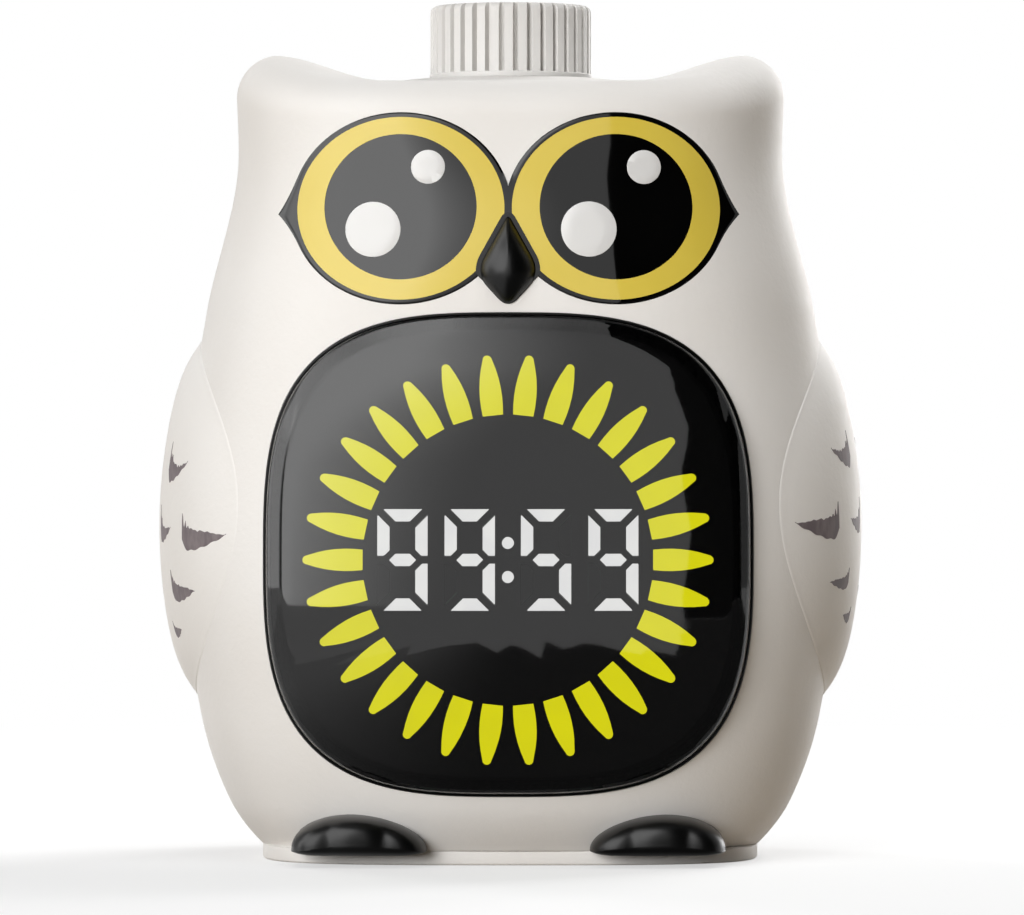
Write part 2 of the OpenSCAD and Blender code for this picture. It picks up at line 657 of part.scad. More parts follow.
module petal_light_pipes() {
  color(petal_yellow) intersection() {
    along_y(-lens_front, pipe_back) petal_ring(0);
    under_dome();
  }
}
module lit_segments() {
  color(light_white) intersection() {
    along_y(-lens_front, pipe_back) {
      strokes(lit, 0);
      colon(0);
    }
    under_dome();
  }
}
module dark_segments() {
  color([0.15, 0.15, 0.16]) intersection() {
    along_y(-lens_front, pipe_back) strokes(dark, 0);
    under_dome();
  }
}
// Screws of the display board: two beside the upper corners, two below the lens
board_bite = 2.4;
board_top_x = 28.4;
board_top_rise = 28.3;
board_low_x = 11.5;
board_low_drop = 35.3;
board_top_at = [board_top_x, display_z + board_top_rise];
board_low_at = [board_low_x, display_z - board_low_drop];
board_spots = [for (side = [-1, 1]) for (p = [board_top_at, board_low_at]) [side * p[0], p[1]]];
tab_r = 2.3;
module display_board() {
  color(board_green) difference() {
    along_y(-board_front, -board_front + board_t) {
      display_profile(lens_a - 0.6, lens_b - 0.6);
      for (p = board_spots) {
        translate(p) circle(r = tab_r);
        hull() {
          translate(p) circle(r = tab_r, $fn = 32);
          translate(display_c + (p - display_c) * 0.8) circle(r = tab_r, $fn = 32);
        }
      }
    }
    for (p = board_spots) rod_y(p[0], p[1], screw_r + fit_gap, -board_front - 1, -board_front + board_t + 1);
  }
}
module display_leds() {
  color("white") {
    for (k = [0 : petals - 1]) let (a = 360 / petals * (k + 0.5), r = (petal_in + petal_out) / 2)
      translate([r * sin(a), -board_front - led_h / 2, dial_z + r * cos(a)]) rotate([0, a, 0])
        cube([1, led_h, 1.6], center = true);
    for (d = [0 : 3]) for (z = [-seg_z + stroke / 2, 0, seg_z - stroke / 2])
      translate([digit_x[d], -board_front - led_h / 2, dial_z + z]) cube([1.6, led_h, 0.8], center = true);
    for (d = [0 : 3]) for (side = [-1, 1]) for (end = [-1, 1])
      translate([digit_x[d] + side * (seg_x - stroke / 2), -board_front - led_h / 2,
        dial_z + end * seg_z / 2])
        cube([0.8, led_h, 1.6], center = true);
    for (side = [-1, 1]) translate([0, -board_front - led_h / 2, dial_z + side * dot_z])
      cube([0.8, led_h, 0.8], center = true);
  }
}
module screw_forward(x, z, y, l) {
  rod_y(x, z, screw_r, y - l, y);
  rod_y(x, z, screw_head_r, y, y + screw_head_h);
}
module display_screws() {
  color(steel) for (p = board_spots)
    screw_forward(p[0], p[1], -board_front + board_t, board_t + board_bite - 0.2);
}

// Wings
wing_points = 38;
wing_mid = [0, wing_z];
tip_at = 308;
tip_spread = 42;
function wing_lobe(t) = wing_tip * max(0, 1 - abs(t - tip_at) / tip_spread) ^ 1.5;
wing_outline = [for (i = [0 : wing_points - 1])
  let (t = 360 * i / wing_points + tip_at - 300, far = wing_lobe(t % 360))
  [(cos(t) < 0 ? wing_front : wing_rear) * cos(t) + far * cos(tip_at),
    wing_z + wing_h / 2 * sin(t) + far * sin(tip_at) * 0.5]];
wing_rings = [0.06, 0.4, 0.66, 0.82, 0.92, 1];
wing_back_rings = [1, 0.92, 0.83, 0.72, 0.58, 0.36, 0.06];
function on_side(outline, h) = [for (p = outline) [skin_x(p[0], p[1]) + h, p[0], p[1]]];
wing_fullness = 3;
function wing_swell(s) = wing_edge + (wing_proud - wing_edge) * (1 - s ^ wing_fullness);
peg_y = 10;
module right_wing() {
  color(body_color) {
    loft(concat([for (s = wing_rings) on_side(inset(wing_outline, wing_mid, s), wing_swell(s))],
      [for (s = wing_back_rings) on_side(inset(wing_outline, wing_mid, s), skin_gap)]));
    for (side = [-1, 1]) translate([skin_x(peg_y, wing_z) - wall - 1, side * peg_y, wing_z])
      rotate([0, 90, 0]) cylinder(r = peg_r, h = wall + 2);
  }
}
module left_wing() {
  mirror([1, 0, 0]) right_wing();
}
module wing_holes(side) {
  both_sides() translate([skin_x(peg_y, wing_z) - 3 * wall, side * peg_y, wing_z]) rotate([0, 90, 0])
    cylinder(r = peg_r + fit_gap, h = 5 * wall);
}

// Feet
foot_gap = 0.1;
foot_back = plinth_d / 2 + foot_gap;
foot_steps = 16;
foot_lean = 0.87;
foot_fullness = 0.58;
sole_steps = 8;
// Upper rim of a foot from its outer end to its inner end, fuller towards the outside, and back along its sole
foot_rim = [for (i = [0 : foot_steps]) let (u = i / foot_steps)
  [foot_out + (foot_in - foot_out) * u,
    foot_low + (foot_top - foot_low) * max(0, sin(180 * u ^ foot_lean)) ^ foot_fullness]];
foot_outline = concat(foot_rim,
  [for (i = [1 : sole_steps - 1]) [foot_in + (foot_out - foot_in) * i / sole_steps, foot_low]]);
foot_mid = [foot_out - 8.6, foot_low + 2.2];
foot_rings = [0.06, 0.3, 0.55, 0.75, 0.88, 0.96, 1];
foot_back_rings = [1, 0.86, 0.68, 0.46, 0.06];
foot_roll = 2.4;
foot_base = 0.4;
skin_clear = 0.3;
toe_gaps = [foot_out - 5.2, foot_out - 12.6];
toe_w = 1.2;
function toe_gap(x, at) = toe_groove * exp(-((x - at) / toe_w) ^ 2);
function toes(x) = toe_gap(x, toe_gaps[0]) + toe_gap(x, toe_gaps[1]);
function foot_y(x, s) = let (bulge = (1 - s ^ foot_roll) ^ (1 / foot_roll))
  foot_back + foot_base + (foot_front - foot_back - toes(x)) * bulge;
// Front of the plinth at x
function plinth_y(x) = plinth_d / 2 * max(0, 1 - (abs(x) / (plinth_w / 2)) ^ plinth_n) ^ (1 / plinth_n);
// Back of a foot: flat where it stands in the shell, and along skin and plinth past that
function foot_rear(p) = min(foot_back, max(skin_y(p[0], p[1]), plinth_y(p[0])) + skin_clear);
foot_peg_z = 4.2;
foot_peg_l = 5;
module right_foot() {
  color(gloss_black) {
    loft(concat(
      [for (s = foot_rings) [for (p = inset(foot_outline, foot_mid, s)) [p[0], -foot_y(p[0], s), p[1]]]],
      [for (s = foot_back_rings) [for (p = inset(foot_outline, foot_mid, s)) [p[0], -foot_rear(p), p[1]]]]));
    rod_y(foot_mid[0], foot_peg_z, peg_r, -foot_back - 0.2, -foot_back + foot_peg_l);
  }
}
module left_foot() {
  mirror([1, 0, 0]) right_foot();
}

// Knob recess in the roof and the encoder that hangs under it
recess_r = knob_r + 0.8;
recess_depth = 0.4;
// Low enough for the pushed knob, and never above the roof
recess_z = min(knob_z - press_travel - slide_gap, roof_z - recess_depth);
crown_t = 3;
crown_z = recess_z - crown_t;
crown_boss_r = recess_r + 2.5;
encoder_top = crown_z - 0.4;
encoder_low = encoder_top - encoder_h;
bushing_top = encoder_top + bushing_h;
cavity_r = bushing_r + 0.7;
cavity_low = encoder_low + 1.2;
cavity_top = encoder_top - 1.4;
plunger_h = 1;
plunger_low = cavity_low + press_travel + slide_gap;
shaft_low = plunger_low + plunger_h;
collar_h = 1.2;
collar_r = bushing_r + 0.3;
knob_end = knob_z + knob_h;
shaft_top = knob_end - knob_top;
stem_r = 5;
stem_low = bushing_top + press_travel + slide_gap;
band_proud = 0.1;
encoder_spot = [10.3, -6.5];

module knob_outline() {
  pitch = 360 / knob_grooves;
  land = 0.34;
  bed = 0.42;
  polygon([for (k = [0 : knob_grooves - 1]) for (c = [[-land, 0], [land, 0], [bed, 1], [1 - bed, 1]])
    let (a = pitch * (k + c[0]), r = knob_r - groove_depth * c[1]) [r * cos(a), r * sin(a)]]);
}
module shaft_profile(g) {
  difference() {
    circle(r = shaft_r + g);
    translate([shaft_r - shaft_flat + g, -2 * shaft_r]) square(4 * shaft_r);
  }
}
module knob() {
  color(body_color) difference() {
    union() {
      translate([0, 0, knob_z]) cylinder(r = knob_r + band_proud, h = knob_band);
      intersection() {
        translate([0, 0, knob_z + knob_band / 2]) linear_extrude(knob_h - knob_band / 2) knob_outline();
        rotate_extrude() polygon([[0, knob_z], [knob_r + 1, knob_z], [knob_r + 1, knob_end - knob_edge - 1.2],
          [knob_r - knob_edge * 0.35, knob_end - knob_edge * 0.4], [knob_r - knob_edge, knob_end],
          [0, knob_end]]);
      }
    }
    difference() {
      translate([0, 0, knob_z - 1])
        cylinder(r = knob_r - groove_depth - knob_wall, h = knob_h - knob_top + 1);
      translate([0, 0, stem_low]) cylinder(r = stem_r, h = knob_end - stem_low);
    }
    translate([0, 0, knob_z]) linear_extrude(shaft_top - knob_z) shaft_profile(fit_gap / 5);
  }
}
module encoder_shaft() {
  color(steel) {
    translate([0, 0, shaft_low]) cylinder(r = shaft_r, h = bushing_top - shaft_low);
    translate([0, 0, cavity_top - collar_h]) cylinder(r = collar_r, h = collar_h);
    translate([0, 0, bushing_top]) linear_extrude(shaft_top - bushing_top) shaft_profile(0);
  }
}
module encoder_plunger() {
  color([0.2, 0.2, 0.22]) translate([0, 0, plunger_low]) cylinder(r = shaft_r - 0.5, h = plunger_h);
}
module encoder_housing() {
  color(steel) difference() {
    union() {
      translate([-encoder_w / 2, -encoder_w / 2, encoder_low]) cube([encoder_w, encoder_w, encoder_h]);
      translate([0, 0, encoder_top - 1]) cylinder(r = bushing_r, h = bushing_h + 1);
    }
    translate([0, 0, cavity_low]) cylinder(r = cavity_r, h = cavity_top - cavity_low);
    translate([0, 0, cavity_top - 1]) cylinder(r = shaft_r + run_gap, h = bushing_h + encoder_h);
  }
}
encoder_board_w = 26;
encoder_board_d = 20;
module encoder_board() {
  color(board_green) difference() {
    translate([-encoder_board_w / 2, encoder_spot[1] - 4.5, encoder_low - board_t])
      cube([encoder_board_w, encoder_board_d, board_t]);
    both_sides() translate([encoder_spot[0], encoder_spot[1], encoder_low - board_t - 1])
      cylinder(r = screw_r + fit_gap, h = board_t + 2);
  }
}
module encoder_screws() {
  color(steel) both_sides() translate([encoder_spot[0], encoder_spot[1], encoder_low - board_t]) {
    cylinder(r = screw_r, h = board_t + screw_bite);
    translate([0, 0, -screw_head_h]) cylinder(r = screw_head_r, h = screw_head_h);
  }
}
// Crown boss and recess of one half of the body
module crown_half(side) {
  rotate([0, 0, side < 0 ? 180 : 0]) rotate_extrude(angle = 180)
    translate([0, crown_z]) square([crown_boss_r, roof_z - 1.2 - crown_z]);
}
module crown_cut() {
  translate([0, 0, recess_z]) cylinder(r = recess_r, h = knob_h);
  translate([0, 0, crown_z - wall]) cylinder(r = bushing_r + 2 * fit_gap, h = crown_t + 2 * wall);
}

// Screws that hold the two shells together, and their posts
shell_top_x = 27;
shell_top_z = 97;
shell_low_x = 37.5;
shell_low_z = 30;
shell_screw_tail = 4;
shell_spots = [for (side = [-1, 1]) for (p = [[shell_top_x, shell_top_z], [shell_low_x, shell_low_z]])
  [side * p[0], p[1]]];
shell_post_r = 3.2;
seat_y = 8;
well_r = screw_head_r + 0.4;
// Where a post of radius r ends inside the wall, whichever way the skin leans there
function post_end(p, r) = min([for (z = [p[1] - r, p[1], p[1] + r]) skin_y(abs(p[0]) + r, z)]) - wall / 2;

// Screws of the base plate
base_screw_x = 29.5;
base_screw_y = 11;
base_spots = [for (sx = [-1, 1]) for (sy = [-1, 1]) [sx * base_screw_x, sy * base_screw_y]];
base_post_h = 5;
base_head_h = 1.2;
base_screw_short = 2;
module base_posts(side) {
  for (p = base_spots) if (p[1] * side > 0) translate([p[0], p[1], plinth_h])
    cylinder(r = post_r, h = flange_t + base_post_h);
}
module base_pilots(side) {
  for (p = base_spots) if (p[1] * side > 0) translate([p[0], p[1], plinth_h - 1])
    cylinder(r = screw_r + pilot_gap, h = flange_t + base_post_h);
}

module half_body(from) {
  thick_patch(body_rows(from, 0, plinth_h), body_rows(from, wall, plinth_h + flange_t));
}
module front_shell() {
  color(body_color) difference() {
    union() {
      half_body(180);
      crown_half(-1);
      base_posts(-1);
      for (p = shell_spots) rod_y(p[0], p[1], shell_post_r, -post_end(p, shell_post_r), 0);
      for (p = board_spots) rod_y(p[0], p[1], board_post_r, -post_end(p, board_post_r), -board_front);
      both_sides() translate([encoder_spot[0], encoder_spot[1], encoder_low])
        cylinder(r = slim_post_r, h = crown_z - encoder_low + 1);
    }
    crown_cut();
    base_pilots(-1);
    wing_holes(-1);
    for (p = shell_spots) rod_y(p[0], p[1], screw_r + pilot_gap, -2 * seat_y, 1);
    for (p = board_spots) rod_y(p[0], p[1], screw_r + pilot_gap, -board_front - board_bite, -board_front + 1);
    both_sides() translate([encoder_spot[0], encoder_spot[1], encoder_low - 1])
      cylinder(r = screw_r + pilot_gap, h = screw_bite + 1.5);
    both_sides() right_mask_plate(fit_gap, 3, -mask_t - skin_gap);
    both_sides() eye_pegs(0, 2 * wall + mask_t);
    along_y(-brow_d, -brow_d / 4) beak_profile(fit_gap);
    along_y(-belly_w, -belly_w / 5) display_profile(display_a + fit_gap, display_b + fit_gap);
    both_sides() along_y(-belly_w, -foot_back + fit_gap) polygon(grown(foot_outline, foot_mid, fit_gap));
    both_sides()
      rod_y(foot_mid[0], foot_peg_z, peg_r + fit_gap, -belly_w / 2, -foot_back + foot_peg_l + fit_gap);
  }
}

// Back: battery compartment, speaker and volume switch
cell_pitch = cell_d + 0.4;
box_t = 1.2;
end_room = 2;
bay_w = 3 * cell_pitch + 0.6;
bay_low = cell_z - end_room;
bay_top = cell_z + cell_l + end_room;
bay_floor = cell_y - cell_d / 2 - 0.15;
bay_rear = cell_y + cell_d / 2 + 0.2;
ear_w = 7;
box_spot = [bay_w / 2 + box_t + ear_w / 2, (bay_low + bay_top) / 2];
box_ear_y = bay_rear - 2;
opening_hw = bay_w / 2 - 0.3;
opening_low = bay_low + 0.4;
opening_top = bay_top - 0.4;
door_round = 2.5;
door_c = [0, (opening_low + opening_top) / 2];
module opening_profile(g) {
  polygon(door_outline(g));
}
// Four rounded corners with points along the edges between them
function door_outline(g) = let (hw = opening_hw - g, z0 = opening_low + g, z1 = opening_top - g)
  rounded([[hw, z0], [hw, z1], [-hw, z1], [-hw, z0]], [door_round, door_round, door_round, door_round], 5);
function split_edges(outline, parts) = [for (i = [0 : len(outline) - 1])
  let (a = outline[i], b = outline[(i + 1) % len(outline)], n = norm(b - a) > 3 * door_round ? parts : 1)
  for (k = [0 : n - 1]) a + (b - a) * k / n];
hinge_z = opening_low + slide_gap + 0.3;
hinge_y = skin_y(0, opening_low) - 0.3;
tab_w = 5;
tab_x = opening_hw - 6;
tab_reach = 2.2;
tab_t = 1.5;
door_rings = [0.06, 0.5, 0.8, 1];
module battery_door() {
  outline = split_edges(door_outline(slide_gap), 5);
  tab_back = skin_y(tab_x, opening_low - tab_reach) - wall - 0.4;
  color(body_color) {
    mirror([0, 1, 0]) loft(concat([for (s = door_rings) on_front(inset(outline, door_c, s), 0)],
      [for (i = [1 : len(door_rings)])
        on_front(inset(outline, door_c, door_rings[len(door_rings) - i]), -door_t)]));
    for (x = [-tab_x, tab_x]) along_x(x - tab_w / 2, x + tab_w / 2)
      polygon([[tab_back - tab_t, opening_low - tab_reach], [tab_back, opening_low - tab_reach],
        [tab_back, opening_low + slide_gap + 0.2], [tab_back + wall + 0.6, opening_low + slide_gap + 0.2],
        [tab_back + wall + 0.6, opening_low + 3], [tab_back - tab_t, opening_low + 3]]);
  }
}
module battery_box() {
  color([0.2, 0.2, 0.21]) difference() {
    union() {
      translate([-bay_w / 2 - box_t, bay_floor - box_t, bay_low - box_t])
        cube([bay_w + 2 * box_t, bay_rear - bay_floor + box_t, bay_top - bay_low + 2 * box_t]);
      translate([-box_spot[0] - ear_w / 2, box_ear_y, box_spot[1] - ear_w / 2])
        cube([2 * box_spot[0] + ear_w, bay_rear - box_ear_y, ear_w]);
    }
    translate([-bay_w / 2, bay_floor, bay_low]) cube([bay_w, cell_d * 2, bay_top - bay_low]);
    both_sides() rod_y(box_spot[0], box_spot[1], screw_r + fit_gap, box_ear_y - 1, bay_rear + 1);
  }
}
module battery_cells() {
  color([0.35, 0.36, 0.4]) for (k = [-1 : 1])
    translate([k * cell_pitch, cell_y, cell_z + (k == 0 ? cell_l : 0)]) mirror([0, 0, k == 0 ? 1 : 0]) {
      cylinder(r = cell_d / 2, h = cell_l - 0.9);
      cylinder(r = 1.9, h = cell_l);
    }
}
leaf_t = 0.4;
// A bent leaf contact between an end wall and a cell
module leaf(x, w) {
  along_x(x - w / 2, x + w / 2) polygon([[cell_y - 3.4, 0], [cell_y + 3.4, 0], [cell_y + 3.4, leaf_t],
    [cell_y - 2.6, leaf_t], [cell_y - 0.4, end_room - leaf_t - 0.05], [cell_y + 2, 1], [cell_y + 2.3, 1.35],
    [cell_y - 0.2, end_room - 0.05], [cell_y - 0.8, end_room - 0.05], [cell_y - 3.4, leaf_t]]);
}
module battery_contacts() {
  color(steel) {
    for (k = [-1 : 1]) translate([0, 0, bay_low]) leaf(k * cell_pitch, 6);
    for (k = [-1 : 1]) translate([0, 0, bay_top]) mirror([0, 0, 1]) leaf(k * cell_pitch, 6);
  }
}
module screw_backward(x, z, y, l) {
  rod_y(x, z, screw_r, y, y + l);
  rod_y(x, z, screw_head_r, y - screw_head_h, y);
}
module battery_box_screws() {
  color(steel) both_sides()
    screw_backward(box_spot[0], box_spot[1], box_ear_y, bay_rear - box_ear_y + screw_bite);
}
speaker_seat = 28.4;
speaker_flange = 1.4;
speaker_wall = 1.5;
speaker_ledge = 1;
ring_front = speaker_seat - speaker_flange - 0.4;
speaker_wall_y = skin_y(speaker_r + speaker_wall, speaker_z + speaker_r) - wall / 2;
cone_depth = 3.4;
dust_r = 3.2;
coil_r = 5;
magnet_r = 7;
magnet_h = 4.5;
module at_speaker(y) {
  translate([0, y, speaker_z]) rotate([90, 0, 0]) children();
}
module speaker_basket() {
  color([0.3, 0.3, 0.32]) at_speaker(speaker_seat) rotate_extrude() polygon([
    [speaker_r - 1.6, 0], [speaker_r, 0],
    [speaker_r, speaker_flange], [speaker_r - 1, speaker_flange], [coil_r + 2.4, cone_depth + 1.6],
    [coil_r, cone_depth + 1.6], [coil_r, cone_depth + 1], [coil_r + 2, cone_depth + 1],
    [speaker_r - 1.6, speaker_flange - 0.5]]);
}
module speaker_cone() {
  color([0.12, 0.12, 0.13]) at_speaker(speaker_seat - 0.1) rotate_extrude() polygon([[0, cone_depth - 1.2],
    [dust_r, cone_depth - 1.8], [speaker_r - 2.4, 0.4], [speaker_r - 1.7, 0.4], [speaker_r - 1.7, 0.7],
    [speaker_r - 2.3, 0.7], [coil_r - 0.1, cone_depth - 0.8], [coil_r - 0.1, cone_depth + 0.4],
    [0, cone_depth + 0.4]]);
}
module speaker_magnet() {
  color(steel) at_speaker(speaker_seat - cone_depth - 1.6) cylinder(r = magnet_r, h = magnet_h);
}
// Holes of the grille in rings of six, twelve and so on
module grille() {
  for (ring = [0 : 2]) for (k = [0 : max(1, 6 * ring) - 1])
    let (a = 360 * k / max(1, 6 * ring), r = ring * grille_step)
    rod_y(r * cos(a), speaker_z + r * sin(a), grille_r, speaker_seat, brow_d);
}
slider_hw = 1.5;
slider_hz = 1.1;
slider_proud = 1;
volume_body = [12, 3.6, 5.6];
volume_board_y = 26.9;
volume_spot = 10;
slot_depth = 1.6;
volume_rear = volume_board_y + volume_body[1];
module volume_slider() {
  color(gloss_black) translate([-slider_hw, volume_rear - slot_depth + 0.05, volume_z - slider_hz])
    cube([2 * slider_hw, skin_y(0, volume_z) + slider_proud - volume_rear + slot_depth - 0.05,
      2 * slider_hz]);
}
module volume_switch() {
  slot_w = 2 * (slider_hw + volume_travel + fit_gap);
  slot_h = 2 * (slider_hz + fit_gap);
  color(steel) difference() {
    translate([-volume_body[0] / 2, volume_board_y, volume_z - volume_body[2] / 2]) cube(volume_body);
    translate([-slot_w / 2, volume_rear - slot_depth, volume_z - slot_h / 2])
      cube([slot_w, slot_depth + 1, slot_h]);
  }
}
module volume_board() {
  w = 2 * volume_spot + 6;
  h = 6.4;
  color(board_green) difference() {
    translate([-w / 2, volume_board_y - board_t, volume_z - h / 2]) cube([w, board_t, h]);
    both_sides()
      rod_y(volume_spot, volume_z, screw_r + fit_gap, volume_board_y - board_t - 1, volume_board_y + 1);
  }
}
module volume_screws() {
  color(steel) both_sides()
    screw_backward(volume_spot, volume_z, volume_board_y - board_t, board_t + screw_bite - 1);
}
main_screw_x = 22.5;
main_screw_low = 72.5;
main_screw_top = 90.5;
main_spots = [for (side = [-1, 1]) for (z = [main_screw_low, main_screw_top]) [side * main_screw_x, z]];
main_front = 10;
main_w = 52;
main_low = 68.5;
main_h = 24.6;
module main_board() {
  color(board_green) difference() {
    translate([-main_w / 2, main_front, main_low]) cube([main_w, board_t, main_h]);
    for (p = main_spots) rod_y(p[0], p[1], screw_r + fit_gap, main_front - 1, main_front + board_t + 1);
  }
}
processor_size = [8, 1.2, 8];
memory_size = [5, 1, 4];
driver_size = [8, 3.4, 5];
plug_size = [10, 3.4, 5];
chip_side = main_w / 3;
chip_low = main_low + 5.5;
// A chip on the front of the main board, by its left side and its lower edge
module chip(left, low, size) {
  translate([left, main_front - size[1], low]) cube(size);
}
module main_chips() {
  color([0.15, 0.15, 0.16]) {
    chip(-processor_size[0] / 2, chip_low + 4, processor_size);
    chip(-chip_side, chip_low + 10, memory_size);
    chip(chip_side - driver_size[0], chip_low, driver_size);
    chip(-chip_side, chip_low, plug_size);
  }
}
module main_screws() {
  color(steel) for (p = main_spots) screw_backward(p[0], p[1], main_front, board_t + screw_bite);
}
module rear_shell() {
  color(body_color) difference() {
    union() {
      half_body(0);
      crown_half(1);
      base_posts(1);
      for (p = shell_spots) rod_y(p[0], p[1], shell_post_r, 0, post_end(p, shell_post_r));
      for (p = main_spots) rod_y(p[0], p[1], post_r, main_front + board_t, post_end(p, post_r));
      for (x = [-volume_spot, volume_spot])
        rod_y(x, volume_z, slim_post_r, volume_board_y, post_end([x, volume_z], slim_post_r));
      for (x = [-box_spot[0], box_spot[0]])
        rod_y(x, box_spot[1], post_r, bay_rear, post_end([x, box_spot[1]], post_r));
      difference() {
        rod_y(0, speaker_z, speaker_r + fit_gap + speaker_wall, ring_front, speaker_wall_y);
        rod_y(0, speaker_z, speaker_r - speaker_ledge, ring_front - 1, brow_d);
      }
    }
    rod_y(0, speaker_z, speaker_r + fit_gap, ring_front - 1, speaker_seat);
    crown_cut();
    base_pilots(1);
    wing_holes(1);
    grille();
    for (p = shell_spots) {
      rod_y(p[0], p[1], screw_r + fit_gap, -1, belly_w / 2);
      rod_y(p[0], p[1], well_r, seat_y, belly_w / 2);
    }
    for (p = main_spots)
      rod_y(p[0], p[1], screw_r + pilot_gap, main_front, main_front + board_t + screw_bite + 0.5);
    for (x = [-volume_spot, volume_spot])
      rod_y(x, volume_z, screw_r + pilot_gap, volume_board_y - 1, volume_board_y + screw_bite - 0.5);
    for (x = [-box_spot[0], box_spot[0]])
      rod_y(x, box_spot[1], screw_r + pilot_gap, bay_rear - 1, bay_rear + screw_bite + 0.5);
    along_y(bay_rear + 0.2, belly_w) opening_profile(0);
    translate([-slider_hw - volume_travel - slide_gap, volume_rear, volume_z - slider_hz - slide_gap])
      cube([2 * (slider_hw + volume_travel + slide_gap), belly_w, 2 * (slider_hz + slide_gap)]);
  }
}
module shell_screws() {
  color(steel) for (p = shell_spots) screw_forward(p[0], p[1], seat_y, 2 * seat_y + shell_screw_tail);
}

// Base
module base_plate() {
  color(body_color) difference() {
    union() {
      linear_extrude(plinth_h) polygon(squircle(plinth_w / 2, plinth_d / 2, plinth_n, 96));
      translate([0, 0, plinth_h]) linear_extrude(flange_t)
        polygon(squircle(service_w / 2 - 0.3, service_d / 2 - 0.3, body_n, 2 * half_cols));
    }
    for (p = base_spots) translate([p[0], p[1], -1]) {
      cylinder(r = screw_r + fit_gap, h = plinth_h + 2);
      cylinder(r = screw_head_r + 2 * fit_gap, h = 1 + base_head_h + fit_gap);
    }
    for (sx = [-1, 1]) for (sy = [-1, 1]) translate([sx * pad_x, sy * pad_y, -1])
      cylinder(r = pad_r + fit_gap, h = 1 + pad_t);
  }
}
module base_pads() {
  color([0.25, 0.25, 0.26]) for (sx = [-1, 1]) for (sy = [-1, 1]) translate([sx * pad_x, sy * pad_y, 0])
    cylinder(r = pad_r, h = pad_t);
}
module base_screws() {
  color(steel) for (p = base_spots) translate([p[0], p[1], fit_gap]) {
    cylinder(r = screw_head_r, h = base_head_h);
    cylinder(r = screw_r, h = plinth_h + flange_t + base_post_h - base_screw_short);
  }
}

front_shell();
rear_shell();
base_plate();
base_pads();
left_wing();
right_wing();
left_eye_mask();
right_eye_mask();
iris_inlays();
eye_glints();
beak();
left_foot();
right_foot();
display_bezel();
display_lens();
light_guide_block();
petal_light_pipes();
lit_segments();
dark_segments();
display_board();
display_leds();
display_screws();
knob();
encoder_shaft();
encoder_housing();
encoder_plunger();
encoder_board();
encoder_screws();
main_board();
main_chips();
main_screws();
speaker_basket();
speaker_cone();
speaker_magnet();
volume_slider();
volume_switch();
volume_board();
volume_screws();
battery_box();
battery_cells();
battery_contacts();
battery_box_screws();
battery_door();
shell_screws();
base_screws();
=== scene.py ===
import json
from math import asin, cos, hypot, pi, radians, sin, sqrt, tau

import bmesh
import bpy
import numpy as np
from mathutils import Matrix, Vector


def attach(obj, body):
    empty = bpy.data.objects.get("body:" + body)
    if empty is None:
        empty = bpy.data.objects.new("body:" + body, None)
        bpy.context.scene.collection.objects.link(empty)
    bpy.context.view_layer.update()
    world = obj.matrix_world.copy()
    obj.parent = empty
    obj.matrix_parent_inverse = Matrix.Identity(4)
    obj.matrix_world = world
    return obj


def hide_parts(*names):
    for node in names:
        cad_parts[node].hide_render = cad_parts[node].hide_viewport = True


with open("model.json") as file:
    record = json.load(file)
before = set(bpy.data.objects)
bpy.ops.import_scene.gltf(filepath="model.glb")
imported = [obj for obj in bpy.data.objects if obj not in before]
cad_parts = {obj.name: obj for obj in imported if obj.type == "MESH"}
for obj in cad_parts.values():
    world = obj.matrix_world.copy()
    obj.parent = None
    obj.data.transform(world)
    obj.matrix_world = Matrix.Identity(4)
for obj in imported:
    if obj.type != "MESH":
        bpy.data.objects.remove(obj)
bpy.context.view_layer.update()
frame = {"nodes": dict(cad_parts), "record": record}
scene = bpy.context.scene
mm = 0.001  # everything below is drawn in millimetres
stack = np.column_stack


# meshes
def gridFaces(rows, cols, wrap=False):
    i = np.arange(rows - 1)[:, None] * cols
    j = np.arange(cols if wrap else cols - 1)[None, :]
    k = (j + 1) % cols
    return np.stack((i + j, i + k, i + cols + k, i + cols + j), -1).reshape(-1, 4)


def smooth(obj, sharpAngle=35):
    shape = bmesh.new()
    shape.from_mesh(obj.data)
    bmesh.ops.recalc_face_normals(shape, faces=shape.faces)
    for face in shape.faces:
        face.smooth = True
    for edge in shape.edges:
        edge.smooth = edge.calc_face_angle(0) < radians(sharpAngle)
    shape.to_mesh(obj.data)
    shape.free()
    return obj


def makePiece(name, points, faces, finish, sharpAngle=35):
    mesh = bpy.data.meshes.new(name)
    mesh.from_pydata((np.asarray(points, float) * mm).tolist(), [], [list(map(int, f)) for f in faces])
    mesh.materials.append(finish)
    obj = bpy.data.objects.new(name, mesh)
    scene.collection.objects.link(obj)
    return smooth(obj, sharpAngle)


def joinShapes(shapes):
    points, faces, count = [], [], 0
    for p, f in shapes:
        points.append(np.asarray(p, float))
        faces += [[int(v) + count for v in face] for face in f]
        count += len(p)
    return np.vstack(points), faces


def loft(rings, closed=False):  # solid through rings of points, capped at its ends or closed on itself
    rings = [np.asarray(r, float) for r in rings]
    n = len(rings[0])
    points = np.vstack(rings)
    faces = gridFaces(len(rings), n, wrap=True).tolist()
    last = (len(rings) - 1) * n
    if closed:
        faces += [[last + j, last + (j + 1) % n, (j + 1) % n, j] for j in range(n)]
        return points, faces
    points = np.vstack((points, rings[0].mean(0), rings[-1].mean(0)))
    faces += [[last + n, (j + 1) % n, j] for j in range(n)]
    faces += [[last + n + 1, last + j, last + (j + 1) % n] for j in range(n)]
    return points, faces


